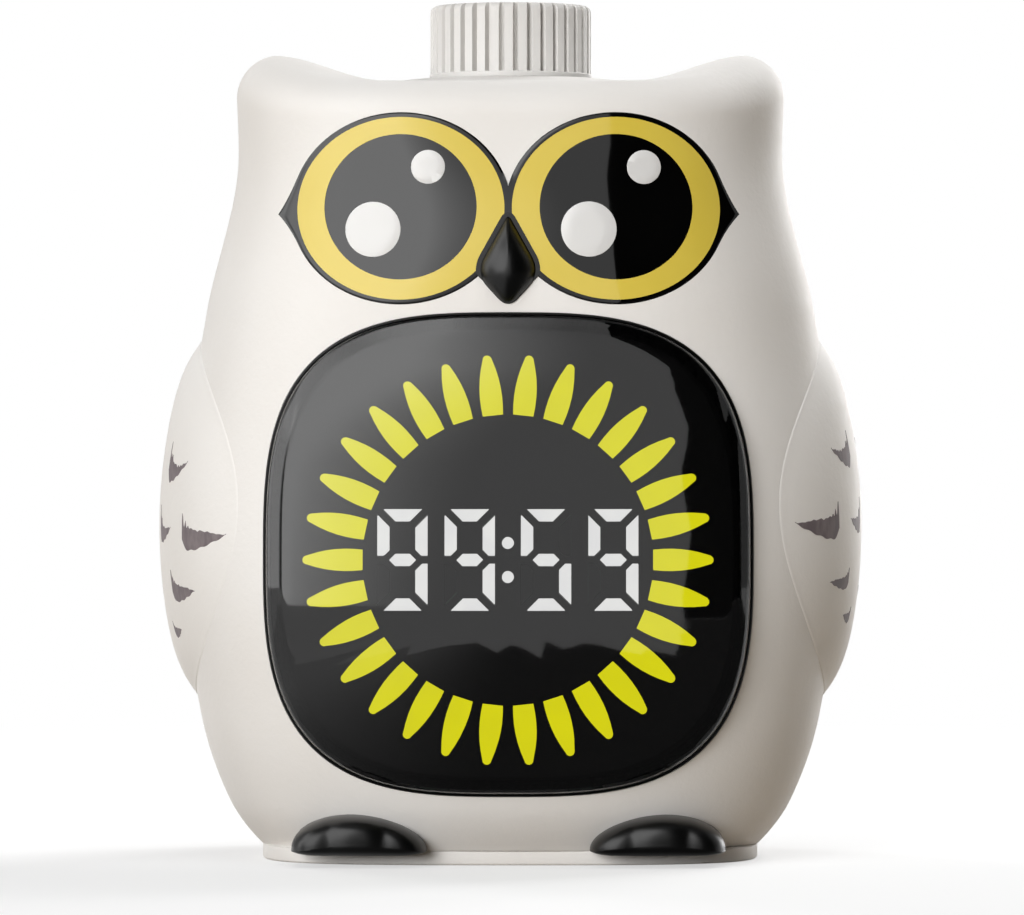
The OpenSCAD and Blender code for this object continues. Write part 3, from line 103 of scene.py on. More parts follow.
def slab(outer, inner):  # solid between two grids of points
    rows, cols = outer.shape[:2]
    count = rows * cols
    skin = gridFaces(rows, cols)
    faces = skin.tolist() + (skin[:, ::-1] + count).tolist()
    for j in (0, cols - 1):
        faces += [[i * cols + j, (i + 1) * cols + j, count + (i + 1) * cols + j, count + i * cols + j]
                  for i in range(rows - 1)]
    for i in (0, rows - 1):
        faces += [[i * cols + j, i * cols + j + 1, count + i * cols + j + 1, count + i * cols + j]
                  for j in range(cols - 1)]
    return np.vstack((outer.reshape(-1, 3), inner.reshape(-1, 3))), faces


def prism(outline, y0, y1):  # outline in x and z, run along y
    n = len(outline)
    points = [(x, y, z) for y in (y0, y1) for x, z in outline]
    faces = [[j, (j + 1) % n, n + (j + 1) % n, n + j] for j in range(n)]
    return np.array(points), faces + [list(range(n)), list(range(2 * n - 1, n - 1, -1))]


def turns(count):
    return np.arange(count) * tau / count


def circle(x, z, r, count=32):
    turn = turns(count)
    return stack((x + r * np.cos(turn), z + r * np.sin(turn)))


def cut(obj, shapes):
    cutter = makePiece("cutter", *joinShapes(shapes), obj.data.materials[0])
    modifier = obj.modifiers.new("cut", "BOOLEAN")
    modifier.operation, modifier.solver, modifier.object = "DIFFERENCE", "EXACT", cutter
    made = bpy.data.meshes.new_from_object(obj.evaluated_get(bpy.context.evaluated_depsgraph_get()))
    obj.modifiers.clear()
    obj.data = made
    bpy.data.objects.remove(cutter)
    return smooth(obj)


def settle(obj, body, slot, *nodes):
    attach(obj, body)
    if nodes:
        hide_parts(*nodes)


def addPiece(name, shape, finish, *place, cuts=()):
    obj = makePiece(name, *shape, finish)
    settle(cut(obj, cuts) if cuts else obj, *place)


# shaders
def srgb(r, g, b, alpha=1.0):
    def linear(c):
        c /= 255
        return c / 12.92 if c <= 0.04045 else ((c + 0.055) / 1.055) ** 2.4
    return (linear(r), linear(g), linear(b), alpha)


class Sock:  # a socket that takes part in sums, each of which adds a Math node
    def __init__(self, nodes, socket):
        self.nodes, self.socket = nodes, socket

    def math(self, operation, a, b):
        return self.nodes.node("ShaderNodeMath", {"operation": operation}, {0: a, 1: b})

    def __add__(self, other):
        return self.math("ADD", self, other)

    def __radd__(self, other):
        return self.math("ADD", other, self)

    def __mul__(self, other):
        return self.math("MULTIPLY", self, other)

    def __rmul__(self, other):
        return self.math("MULTIPLY", other, self)

    def __gt__(self, other):
        return self.math("GREATER_THAN", self, other)


class Nodes:  # one node tree, where a value that varies comes as a Sock
    def __init__(self, tree):
        self.tree = tree

    def plug(self, socket, value):
        if isinstance(value, Sock):
            self.tree.links.new(value.socket, socket)
        else:
            socket.default_value = value

    def node(self, kind, settings=None, links=None, out=0):
        made = self.tree.nodes.new(kind)
        for key, value in (settings or {}).items():
            setattr(made, key, value)
        for key, value in (links or {}).items():
            self.plug(made.inputs[key], value)
        return Sock(self, made.outputs[out])

    def seen(self):  # one for rays from the camera, a gloss or a clear piece
        camera, gloss, clear = (self.node("ShaderNodeLightPath", out=f"Is {kind} Ray")
                                for kind in ("Camera", "Glossy", "Transmission"))
        return camera + gloss + clear

    def surface(self, factor, low, high):  # what the output shows: one shader or the other
        mixed = self.node("ShaderNodeMixShader", {}, {0: factor, 1: low, 2: high})
        output = next(n for n in self.tree.nodes if n.name in ("Material Output", "World Output"))
        self.plug(output.inputs["Surface"], mixed)


class Finish(Nodes):
    def __init__(self, name, **fixed):
        self.mat = bpy.data.materials.new(name)
        self.mat.use_nodes = True
        super().__init__(self.mat.node_tree)
        self.shader = self.tree.nodes["Principled BSDF"]
        for key, value in fixed.items():
            self.feed("Specular IOR Level" if key == "Shine" else key.replace("_", " "), value)

    def feed(self, socket, value):
        self.plug(self.shader.inputs[socket], value)

    def where(self):
        return self.node("ShaderNodeTexCoord", out="Object")

    def along(self, axis):
        return self.node("ShaderNodeSeparateXYZ", {}, {0: self.where()}, out=axis)

    def stretched(self, scale):
        return self.node("ShaderNodeMapping", {}, {"Vector": self.where(), "Scale": scale})

    def noise(self, scale, detail=2.0, vector=None):
        links = {"Vector": vector or self.where(), "Scale": scale, "Detail": detail}
        return self.node("ShaderNodeTexNoise", {}, links)

    def between(self, factor, low, high, start=0.0, end=1.0):
        links = {"Value": factor, "From Min": low, "From Max": high, "To Min": start, "To Max": end}
        return self.node("ShaderNodeMapRange", {"interpolation_type": "SMOOTHSTEP"}, links)

    def cloud(self, scale, detail, low, high, vector=None):
        return self.between(self.noise(scale, detail, vector), low, high)

    def blend(self, factor, a, b):
        return self.node("ShaderNodeMix", {"data_type": "RGBA"}, {0: factor, 6: a, 7: b}, out=2)

    def bump(self, height, strength, distance):
        links = {"Height": height, "Strength": strength, "Distance": distance}
        self.feed("Normal", self.node("ShaderNodeBump", {}, links))


def grey(level):
    return (level, level, level, 1)


# in these finishes a cloud is a noise's scale and detail, and the levels at which it starts and ends
def moulded(name, pale, warm, rough, grainScale, grainDepth, cloud=(30.0, 3.0, 0.3, 0.7), grainDetail=3.0,
            speckShare=0.35, speckDetail=4.0, speckLevels=(0.35, 0.65), speckRough=0.05, speckDepth=0.6,
            bump=0.35, **fixed):
    f = Finish(name, **fixed)
    grain = f.noise(grainScale, grainDetail)
    speck = f.between(f.noise(grainScale * speckShare, speckDetail), *speckLevels, start=-1.0)
    f.feed("Base Color", f.blend(f.cloud(*cloud), pale, warm))
    f.feed("Roughness", rough + speckRough * speck)
    f.bump(grain + speckDepth * speck, bump, grainDepth)
    return f.mat


def glossed(name, colour, second, rough, cloud=(45.0, 4.0, 0.35, 0.7), hazeRough=0.025, wave=(60.0, 1.0),
            bump=(0.05, 0.00002), **fixed):
    f = Finish(name, **fixed)
    haze = f.cloud(*cloud)
    f.feed("Base Color", f.blend(haze, colour, second))
    f.feed("Roughness", rough + hazeRough * haze)
    f.bump(f.noise(*wave), *bump)  # the slight wave of a moulded gloss
    return f.mat


def glowing(name, colour, edge, strength, rough=0.4, cloud=(260.0, 2.0, 0.3, 0.7), greys=(0.02, 0.03)):
    f = Finish(name, Roughness=rough, Emission_Strength=strength)
    mottle = f.cloud(*cloud)
    f.feed("Emission Color", f.blend(mottle, colour, edge))
    f.feed("Base Color", f.blend(mottle, *map(grey, greys)))
    return f.mat


def brushed(name, colour, second, rough, rougher=0.15, stretch=(1.0, 1.0, 12.0), fine=(700.0, 3.0),
            levels=(0.3, 0.7), bump=(0.15, 0.00002)):
    f = Finish(name, Metallic=1.0)
    lines = f.noise(*fine, f.stretched(stretch))
    f.feed("Base Color", f.blend(lines, colour, second))
    f.feed("Roughness", f.between(lines, *levels, rough, rough + rougher))
    f.bump(lines, *bump)
    return f.mat


def boardCoat(name, rough=0.32, trackRough=0.2, scale=260.0, trackW=0.012, trackShare=0.6, stain=(180.0, 2.0),
              bump=(0.2, 0.00003)):
    f = Finish(name)
    links = {"Vector": f.where(), "Scale": scale, "Mortar Size": trackW}
    tracks = f.node("ShaderNodeTexBrick", {}, links, out=1)
    mask = f.blend(f.noise(*stain), srgb(18, 84, 48), srgb(24, 98, 58))
    f.feed("Base Color", f.blend(tracks * trackShare, mask, srgb(56, 132, 84)))
    f.feed("Roughness", rough + trackRough * tracks)
    f.bump(tracks, *bump)
    return f.mat


def cellSleeve(name, metal=0.35, bandZ=0.048, tipZ=0.0595, rough=0.3, scuff=0.12, scuffs=(400.0, 2.0)):
    f = Finish(name, Metallic=metal)
    height = f.along("Z")
    sleeve = f.blend(height > bandZ, srgb(52, 58, 70), srgb(176, 130, 84))
    f.feed("Base Color", f.blend(height > tipZ, sleeve, srgb(186, 188, 192)))
    f.feed("Roughness", rough + scuff * f.noise(*scuffs))
    return f.mat


def tickPaint(name, rough=0.5, streakRough=0.1, stretch=(1.0, 1.0, 0.35), cloud=(900.0, 4.0, 0.35, 0.65),
              bump=(0.2, 0.00003), **fixed):
    f = Finish(name, **fixed)
    streak = f.cloud(*cloud, f.stretched(stretch))
    f.feed("Base Color", f.blend(streak, srgb(104, 95, 98), srgb(124, 115, 117)))
    f.feed("Roughness", rough + streakRough * streak)
    f.bump(streak, *bump)
    return f.mat


def smokedLens(name, alpha, rough=0.02, hazeRough=0.02, cloud=(25.0, 3.0, 0.35, 0.7)):
    f = Finish(name, Shine=0.95, Alpha=alpha)
    haze = f.cloud(*cloud)
    f.feed("Base Color", f.blend(haze, (0.001, 0.001, 0.0011, 1), (0.0015, 0.0015, 0.0016, 1)))
    f.feed("Roughness", rough + hazeRough * haze)
    return f.mat


whitePlastic = moulded("whitePlastic", srgb(235, 233, 230), srgb(231, 228, 224), 0.52, 2600.0, 0.00003,
                       Shine=0.35)
# the body's white plastic made darker for the knob: painted shade, standing in for the less light it should
# get, since it stands high and catches more of the lamps
knobShadedWhite = moulded("knobShadedWhite", srgb(222, 220, 217), srgb(217, 215, 212), 0.52, 2600.0, 0.00003, Shine=0.35)
beakBlack = glossed("beakBlack", srgb(4, 4, 4), srgb(6, 6, 6), 0.3, Shine=0.4)
footBlack = glossed("footBlack", srgb(4, 4, 4), srgb(6, 6, 6), 0.32, Shine=0.4)
bezelBlack = glossed("bezelBlack", srgb(4, 4, 4), srgb(6, 6, 6), 0.3, Shine=0.2)
eyeGloss = glossed("eyeGloss", srgb(3, 3, 3), srgb(5, 5, 5), 0.03)
irisYellow = glossed("irisYellow", srgb(224, 201, 84), srgb(220, 196, 76), 0.05)
glintWhite = glossed("glintWhite", srgb(226, 226, 225), srgb(221, 221, 221), 0.08)
wingTick = tickPaint("wingTick", Shine=0.3)
lensSmoke = smokedLens("lensSmoke", 0.6)
lensInside = smokedLens("lensInside", 0.03)
finishes = {  # by the names of the record's slots
    "body_white": whitePlastic, "eye_yellow": irisYellow, "glint_white": glintWhite, "smoked_lens": lensSmoke,
    "gloss_black": glossed("glossBlack", srgb(14, 14, 15), srgb(19, 19, 20), 0.09),
    "petal_glow": glowing("petalGlow", srgb(223, 219, 4), srgb(219, 215, 2), 2.3),
    "digit_glow": glowing("digitGlow", srgb(232, 232, 230), srgb(226, 226, 226), 2.3),
    "block_black": moulded("blockBlack", srgb(5, 5, 5), srgb(7, 7, 7), 0.6, 2200.0, 0.00002, Shine=0.2),
    "inner_black": moulded("innerBlack", srgb(42, 42, 44), srgb(50, 50, 52), 0.5, 1800.0, 0.00003),
    "cone_paper": moulded("conePaper", srgb(30, 30, 32), srgb(44, 44, 46), 0.85, 1200.0, 0.0001),
    "pad_rubber": moulded("padRubber", srgb(60, 60, 62), srgb(68, 68, 70), 0.8, 900.0, 0.00006),
    "led_white": moulded("ledWhite", srgb(236, 234, 214), srgb(228, 226, 204), 0.4, 1500.0, 0.00002),
    "screw_steel": brushed("screwSteel", srgb(180, 182, 186), srgb(158, 160, 164), 0.25),
    "board_green": boardCoat("boardGreen"), "cell_metal": cellSleeve("cellMetal"),
}
print("finishes made")

# the body's skin, as half widths and half depths over its height
body = {
    "widths": [(2, 34.6), (8, 39), (20, 43), (46, 46.2), (75, 42.3), (97.5, 37.8), (105.4, 38.05)],
    "depths": [(2, 29.4), (8, 33.8), (20, 37), (34, 38.2), (75, 34.6), (97.5, 31.6), (105.4, 31)],
    "squareness": 2.8, "rimSteepness": 1.35, "wall": 2.0, "floorT": 2.0, "service": (54, 44),
    "plinthH": 2.0, "browZ": 105.4, "roofZ": 107.4, "crownH": 1.2, "crownR": 18.0,
    "earH": 3.8, "earIn": 16.5, "earOut": 33.0, "earLen": 20.0, "earShape": 3.0,
    "earRound": 6.0, "browRound": 4.8, "browFall": 1.2, "browHalfD": 31.0,
    "recessR": 12.0, "recessZ": 107.0, "bossR": 14.5, "bossZ": 104.0, "boreR": 3.7,
    "seam": 0.22, "seamTurns": (0, 0.35), "firstTurn": 1.2, "columns": 150,
    "lowShare": 0.07, "lowRows": 14, "wallFrom": 0.075, "wallRows": 105, "edgeRows": 14, "roofRows": 26,
}


def smoothCurve(stations):
    zs, hs = np.array(stations, float).T
    step = np.diff(zs)
    rise = np.diff(hs) / step
    slope = np.zeros(len(zs))
    slope[0], slope[-1] = rise[0] * body["rimSteepness"], rise[-1]
    for i in range(1, len(zs) - 1):
        if rise[i - 1] * rise[i] > 0:
            a, b = step[i - 1], step[i]
            slope[i] = 3 * (a + b) / ((2 * b + a) / rise[i - 1] + (b + 2 * a) / rise[i])

    def at(z):
        z = np.clip(z, zs[0], zs[-1])
        i = np.clip(np.searchsorted(zs, z, side="right") - 1, 0, len(step) - 1)
        t = (z - zs[i]) / step[i]
        return ((2 * t**3 - 3 * t**2 + 1) * hs[i] + (t**3 - 2 * t**2 + t) * step[i] * slope[i]
                + (3 * t**2 - 2 * t**3) * hs[i + 1] + (t**3 - t**2) * step[i] * slope[i + 1])
    return at


halfW, halfD = smoothCurve(body["widths"]), smoothCurve(body["depths"])


def squareness(phi, n):
    return (np.abs(np.cos(phi)) ** n + np.abs(np.sin(phi)) ** n) ** (-1 / n)


def skinY(x, z):
    n = body["squareness"]
    return halfD(z) * np.maximum(0, 1 - (np.abs(x) / halfW(z)) ** n) ** (1 / n)


def skinX(y, z):
    n = body["squareness"]
    return halfW(z) * np.maximum(0, 1 - (np.abs(y) / halfD(z)) ** n) ** (1 / n)


def ease(t):
    t = np.clip(t, 0, 1)
    return t * t * (3 - 2 * t)


def roof(x, y):
    b = body
    ears = ease((np.abs(x) - b["earIn"]) / (b["earOut"] - b["earIn"]))
    ears = ears * np.exp(-(np.abs(y) / b["earLen"]) ** b["earShape"])
    return (b["roofZ"] + b["crownH"] * np.maximum(0, 1 - (x * x + y * y) / b["crownR"] ** 2)
            + b["earH"] * ears - b["browFall"] * (y / b["browHalfD"]) ** 2)


def bodyGrid(start, depth, z0, inner):
    b = body
    ends, first = np.radians(b["seamTurns"]), radians(b["firstTurn"])
    middle = np.linspace(first, pi - first, b["columns"])
    phi = start + np.concatenate((ends, middle, pi - ends[::-1]))
    ex, ey = np.cos(phi), np.sin(phi)
    d = np.full(len(phi), depth)
    if not inner:
        d[[0, -1]] += b["seam"]  # the two halves meet in a fine groove
    k = squareness(phi, b["squareness"])

    def plan(z, s=1.0):
        return (halfW(z) - d) * k * ex * s, (halfD(z) - d) * k * ey * s

    def row(x, y, z):
        made = stack((x, y, np.broadcast_to(z, x.shape)))
        made[[0, -1], 1] = 0
        return made

    edgeR = b["browRound"] + (b["earRound"] - b["browRound"]) * ex ** 2 - d
    top = roof(*plan(b["browZ"])) - edgeR - d
    rows = [row(b["service"][0] / 2 * k * ex, b["service"][1] / 2 * k * ey, z0)]
    lowRows = np.linspace(0, b["lowShare"], b["lowRows"])
    for v in np.concatenate((lowRows, np.linspace(b["wallFrom"], 1, b["wallRows"]))):
        z = z0 + v * (top - z0)
        rows.append(row(*plan(z), z))
    x, y = plan(top)
    reach = np.hypot(x, y)
    for turn in np.linspace(0, pi / 2, b["edgeRows"])[1:]:
        s = 1 - edgeR * (1 - cos(turn)) / reach
        rows.append(row(x * s, y * s, roof(x * s, y * s) - d - edgeR * (1 - sin(turn))))
    s = 1 - edgeR / reach
    lip = b["bossR"] if inner else b["recessR"]
    for t in np.linspace(0, 1, b["roofRows"])[1:]:
        px, py = x * s * (1 - t) + lip * ex * t, y * s * (1 - t) + lip * ey * t
        rows.append(row(px, py, roof(px, py) - d))
    low = b["bossZ"] if inner else b["recessZ"]
    rows.append(row(lip * ex, lip * ey, low))
    rows.append(row(b["boreR"] * ex, b["boreR"] * ey, low))
    return np.array(rows)


def addShell(kind, start, cuts):
    b = body
    outer = bodyGrid(start, 0.0, b["plinthH"], False)
    inner = bodyGrid(start, b["wall"], b["plinthH"] + b["floorT"], True)
    place = "body", "body_white", kind + "_shell"
    addPiece(kind + "Shell", slab(outer, inner), whitePlastic, *place, cuts=cuts)


def squareOval(piece, shrink):
    phi = turns(piece["points"])
    k = squareness(phi, piece["n"])
    a, b = piece["a"] - shrink, piece["b"] - shrink
    return stack((a * k * np.cos(phi), piece["z"] + b * k * np.sin(phi)))


def rounded(corners, radii, steps):
    corners = [np.array(c, float) for c in corners]
    made = []
    for i, c in enumerate(corners):
        before, after = corners[i - 1], corners[(i + 1) % len(corners)]
        p0 = c + (before - c) * radii[i] / np.linalg.norm(before - c)
        p1 = c + (after - c) * radii[i] / np.linalg.norm(after - c)
        made += [(1 - t) ** 2 * p0 + 2 * t * (1 - t) * c + t**2 * p1 for t in np.linspace(0, 1, steps)]
    return np.array(made)


def evenly(outline, count):  # the same closed outline with evenly spaced points
    ring = np.vstack((outline, outline[:1]))
    run = np.concatenate(([0], np.cumsum(np.linalg.norm(np.diff(ring, axis=0), axis=1))))
    at = np.linspace(0, run[-1], count, endpoint=False)
    return stack([np.interp(at, run, ring[:, k]) for k in (0, 1)])


def inset(outline, middle, s):
    return np.asarray(middle) + (outline - np.asarray(middle)) * s


def onPlane(p, y):
    return stack((p[:, 0], np.broadcast_to(y, len(p)), p[:, 1]))


def skinAt(p):
    return skinY(p[:, 0], p[:, 1])


def onFront(p, h):
    return onPlane(p, -skinAt(p) - h)


def level(p, z):
    return stack((p, np.full(len(p), z)))


core = 0.02  # share of an outline at which the rings of a cap begin
sides = ((-1, "left"), (1, "right"))
display = {"a": 33.15, "b": 32.65, "n": 3.1, "z": 42.2, "points": 256, "gap": 0.05, "openTo": -24.0,
           "bezelW": 0.3, "proud": 0.3, "bezelBack": -26.6,
           "bezelSteps": [(0, -0.2), (0.02, -0.06), (0.07, 0), (0.22, 0), (0.28, -0.06), (0.3, -0.2)],
           "lensR": 190.0, "lensFront": 39.6, "lensZ": 35.0, "lensT": 1.8, "bevelW": 2.4, "bevelDrop": 2.0,
           "bevelShare": 0.55, "hinge": 0.3, "rimR": 0.4, "rimSink": 0.2, "flatTo": 4.0,
           "rimRuns": [(3.7, 1.5, 16), (1.3, 0.4, 5)], "lip": 1.7, "lipStep": 0.03, "seatY": -29.6}
back = {"doorHw": 16.35, "doorLow": 14.6, "doorTop": 62.3, "doorRound": 2.5, "doorY": 29.75, "gap": 0.3,
        "speakerZ": 87.0, "grilleR": 0.9, "grilleStep": 3.6, "grilleRings": 3, "grilleY": 28.4,
        "volumeZ": 68.5, "slotHw": 3.8, "slotHz": 1.4, "slotRound": 0.6, "slotY": 30.5,
        "screws": [(27, 97), (37.5, 30)], "wellR": 2.5, "postR": 3.2, "screwSeat": 8.0, "seatT": 1.5,
        "boreR": 1.2}


def roundedBox(hw, low, top, r, steps=9):
    return rounded([(hw, low), (hw, top), (-hw, top), (-hw, low)], [r] * 4, steps)


def grilleHoles():
    holes = []
    for ring in range(back["grilleRings"]):
        count = max(1, 6 * ring)
        for k in range(count):
            a, r = tau * k / count, ring * back["grilleStep"]
            holes.append((r * cos(a), back["speakerZ"] + r * sin(a)))
    return holes


screwSpots = [(side * x, z) for side, _ in sides for x, z in back["screws"]]
farOut = 60.0

addShell("front", pi, [prism(squareOval(display, -display["gap"]), -farOut, display["openTo"])])
doorHole = roundedBox(back["doorHw"], back["doorLow"], back["doorTop"], back["doorRound"])
slotHole = roundedBox(back["slotHw"], back["volumeZ"] - back["slotHz"], back["volumeZ"] + back["slotHz"],
                      back["slotRound"])
rearCuts = [prism(doorHole, back["doorY"], farOut), prism(slotHole, back["slotY"], farOut)]
rearCuts += [prism(circle(x, z, back["grilleR"], 28), back["grilleY"], farOut) for x, z in grilleHoles()]
rearCuts += [prism(circle(x, z, back["wellR"]), back["screwSeat"], farOut) for x, z in screwSpots]
addShell("rear", 0.0, rearCuts)


def screwWell(x, z):
    bore, well, r, seat = back["boreR"], back["wellR"], back["postR"], back["screwSeat"]
    low = seat - back["seatT"]
    end = min(skinY(abs(x) + r, z + dz) for dz in (-r, 0, r)) - body["wall"] / 2
    profile = [(bore, low), (r, low), (r, end), (well, end), (well, seat), (bore, seat)]
    return loft([onPlane(circle(x, z, r, 40), y) for r, y in profile], closed=True)


wells = joinShapes([screwWell(x, z) for x, z in screwSpots])
addPiece("screwWells", wells, whitePlastic, "body", "body_white")
print("shells made")

plinth = {"a": 34.3, "b": 29.0, "n": 3.5, "z": 0.0, "points": 256, "h": 2.0, "round": 0.35, "below": -1.0,
          "padAt": (21, 20.5), "padR": 3.6, "padT": 0.8, "screwAt": (29.5, 11), "screwR": 2.3, "screwT": 1.3}


def plinthRing(shrink, z):
    return level(squareOval(plinth, shrink), z)


def roundHole(x, y, r, depth):  # short upright cylinder from below the base
    return loft([level(circle(x, y, r, 40), z) for z in (plinth["below"], depth)])


bends = np.linspace(0, pi / 2, 6)
rim = plinth["round"]
rings = [plinthRing(rim * (1 - sin(t)), rim * (1 - cos(t))) for t in bends]
rings += [plinthRing(rim * (1 - cos(t)), plinth["h"] - rim * (1 - sin(t))) for t in bends]
holes = [(plinth["padAt"], plinth["padR"], plinth["padT"]),
         (plinth["screwAt"], plinth["screwR"], plinth["screwT"])]
holes = [roundHole(sx * at[0], sy * at[1], r, depth) for at, r, depth in holes
         for sx in (-1, 1) for sy in (-1, 1)]
addPiece("basePlate", loft(rings), whitePlastic, "body", "body_white", "base_plate", cuts=holes)

# eyes: a glossy mask, a yellow ring and two glints, laid on the skin one over the other
eye = {"x": 14.6, "z": 89.0, "rx": 15.0, "rz": 13.05, "points": 240, "split": 0.0,
       "tipReach": 1.8, "tipDrop": 0.6, "tipUp": 5.4, "tipDown": 4.6, "tipSharp": 2.2,
       "irisRx": 14.1, "irisRz": 12.4, "irisSplit": 0.32, "irisProud": 0.03,
       "pupilRx": 10.35, "pupilRz": 9.87, "pupilUp": 0.2,
       "glints": [(3.75, 5.4, 2.3), (-3.7, -3.05, 3.75)], "glintProud": 0.05, "glintEdge": 0.03,
       "proud": 0.14, "sink": -0.3, "flatTo": 0.94, "meet": 0.9, "meetW": 0.5,
       "roll": [(0.965, 0.97), (0.98, 0.86), (0.99, 0.6), (0.997, 0.15), (1.0, 0.0)]}


def maskOutline():
    t = -asin(eye["tipDrop"] / eye["rz"]) + turns(eye["points"])
    dz = eye["rz"] * np.sin(t)
    u = dz + eye["tipDrop"]
    tall = np.where(u > 0, eye["tipUp"], eye["tipDown"])
    bulge = eye["tipReach"] * np.maximum(0, 1 - np.abs(u) / tall) ** eye["tipSharp"]
    dx = eye["rx"] * np.cos(t) + np.where(np.cos(t) > 0, bulge, 0)
    return stack((np.maximum(eye["split"], eye["x"] + dx), eye["z"] + dz))


def oval(rx, rz, up, split):
    t = turns(eye["points"])
    return stack((np.maximum(split, eye["x"] + rx * np.cos(t)), eye["z"] + up + rz * np.sin(t)))


def sided(shape, side):
    return np.asarray(shape[0]) * np.array([side, 1, 1]), shape[1]


eyeMiddle = (eye["x"], eye["z"])
maskSteps = [(s, eye["proud"]) for s in np.linspace(core, eye["flatTo"], 22)]
maskSteps += [(s, share * eye["proud"]) for s, share in eye["roll"]] + [(1.0, eye["sink"])]


def eyeMask(side):
    outline = maskOutline()
    rings = []
    for s, h in maskSteps:
        p = inset(outline, eyeMiddle, s)
        if h >= 0:  # no rolled rim where the two masks meet
            h = h + (eye["proud"] - h) * ease((eye["meet"] - p[:, 0]) / eye["meetW"])
        rings.append(onFront(p, h))
    return sided(loft(rings), side)


for side, name in sides:
    addPiece(name + "EyeMask", eyeMask(side), eyeGloss, "body", "gloss_black", name + "_eye_mask")


def irisRing(side):
    inner = oval(eye["pupilRx"], eye["pupilRz"], eye["pupilUp"], eye["irisSplit"])
    outer = oval(eye["irisRx"], eye["irisRz"], 0.0, eye["irisSplit"])
    top = eye["proud"] + eye["irisProud"]
    face = [onFront(inner + (outer - inner) * t, top) for t in np.linspace(0, 1, 9)]
    rings = [onFront(inner, eye["sink"]), *face, onFront(outer, eye["sink"])]
    return sided(loft(rings, closed=True), side)


def glint(side, dx, dz, r):
    x, z = side * eye["x"] + dx, eye["z"] + eye["pupilUp"] + dz
    top = eye["proud"] + eye["glintProud"]
    steps = [(0.05, top), (0.5, top), (0.98, top), (1.0, top - eye["glintEdge"]), (1.0, eye["sink"])]
    return loft([onFront(circle(x, z, r * s, 72), h) for s, h in steps])


irises = joinShapes([irisRing(side) for side, _ in sides])
addPiece("irisRings", irises, irisYellow, "body", "eye_yellow", "iris_inlays")
glints = joinShapes([glint(side, *g) for side, _ in sides for g in eye["glints"]])
addPiece("eyeGlints", glints, glintWhite, "body", "glint_white", "eye_glints")

bill = {"hw": 4.5, "mid": 80.2, "top": 88.3, "low": 75.3, "radii": [2.6, 1.0, 2.6, 2.0], "points": 160,
        "middleUp": 0.8, "proud": 3.0, "swellPower": 0.65, "back": -32.0,
        "roundW": 3.0, "roundUp": 6.0, "roundDown": 4.0, "roundPower": 1.5,
        "edgeH": 0.21, "border": 0.55, "borderLeast": 0.03, "borderLow": 79.0, "borderRise": 1.4}
beakCorners = [(bill["hw"], bill["mid"]), (0, bill["top"]), (-bill["hw"], bill["mid"]), (0, bill["low"])]
beakOutline = evenly(rounded(beakCorners, bill["radii"], 14), bill["points"])
beakMiddle = np.array([0, bill["mid"] + bill["middleUp"]])


def beakRing(s):  # oval near its middle, so that the pillow has no creases
    fromMiddle = beakOutline - beakMiddle
    turn = np.arctan2(fromMiddle[:, 1], fromMiddle[:, 0])
    tall = np.where(turn > 0, bill["roundUp"], bill["roundDown"])
    soft = stack((bill["roundW"] * np.cos(turn), tall * np.sin(turn)))
    p = beakMiddle + (soft + (fromMiddle - soft) * s ** bill["roundPower"]) * s
    swell = bill["proud"] * (1 - s**2) ** bill["swellPower"]
    return onFront(p, np.maximum(swell, bill["edgeH"]))


def beakBorder():  # the outline grown over the irises
    along = np.roll(beakOutline, -1, axis=0) - np.roll(beakOutline, 1, axis=0)
    outward = stack((along[:, 1], -along[:, 0])) / np.linalg.norm(along, axis=1)[:, None]
    outward *= np.sign(np.sum(outward * (beakOutline - beakMiddle)))
    grown = ease((beakOutline[:, 1] - bill["borderLow"]) / bill["borderRise"])
    width = bill["borderLeast"] + bill["border"] * grown
    return beakOutline + outward * width[:, None]


beakSteps = np.sin(np.linspace(core, 1, 26) * pi / 2)
beakRings = [beakRing(s) for s in beakSteps]
beakRings += [onFront(beakBorder(), h) for h in (bill["edgeH"], eye["sink"])]
beakRings.append(onPlane(beakOutline, bill["back"]))
addPiece("beak", loft(beakRings), beakBlack, "body", "gloss_black", "beak")
print("face made")

# display: bezel and domed lens in the front shell's opening
lensA = display["a"] - display["bezelW"] - display["gap"]
displayMiddle = (0, display["z"])

bezelRings = [onPlane(squareOval(display, 0), display["bezelBack"])]
bezelRings += [onFront(squareOval(display, shrink), display["proud"] + h)
               for shrink, h in display["bezelSteps"]]
bezelRings.append(onPlane(squareOval(display, display["bezelW"]), display["bezelBack"]))
bezelShape = loft(bezelRings, closed=True)
addPiece("displayBezel", bezelShape, bezelBlack, "body", "gloss_black", "display_bezel")


def dome(p, r):
    height = np.sqrt(r**2 - p[:, 0] ** 2 - (p[:, 1] - display["lensZ"]) ** 2)
    return height - (display["lensR"] - display["lensFront"])


lensOutline = squareOval(display, display["bezelW"] + display["gap"])


def lensFrontRing(s):  # the dome bends into a soft bevel, and that into a small round at the rim
    p = inset(lensOutline, displayMiddle, s)
    low = skinAt(p) + display["proud"] - display["rimSink"]
    depth = dome(p, display["lensR"]) - low
    w, r = display["bevelW"], display["rimR"]
    slope = np.minimum(display["bevelDrop"], display["bevelShare"] * depth) / w
    d = (s - 1) * lensA + w
    bevel = slope * (d + hypot(d, display["hinge"])) / 2
    q = min(1.0, max(0.0, (d - w + r) / r))
    left = (depth - bevel) * sqrt(1 - q * q)
    return onPlane(p, -low - left)


def lensBackRing(s):
    p = inset(lensOutline, displayMiddle, s)
    return onPlane(p, -dome(p, display["lensR"] - display["lensT"]))


def stepAt(d):  # share of the outline that lies d inside the rim
    return 1 - d / lensA


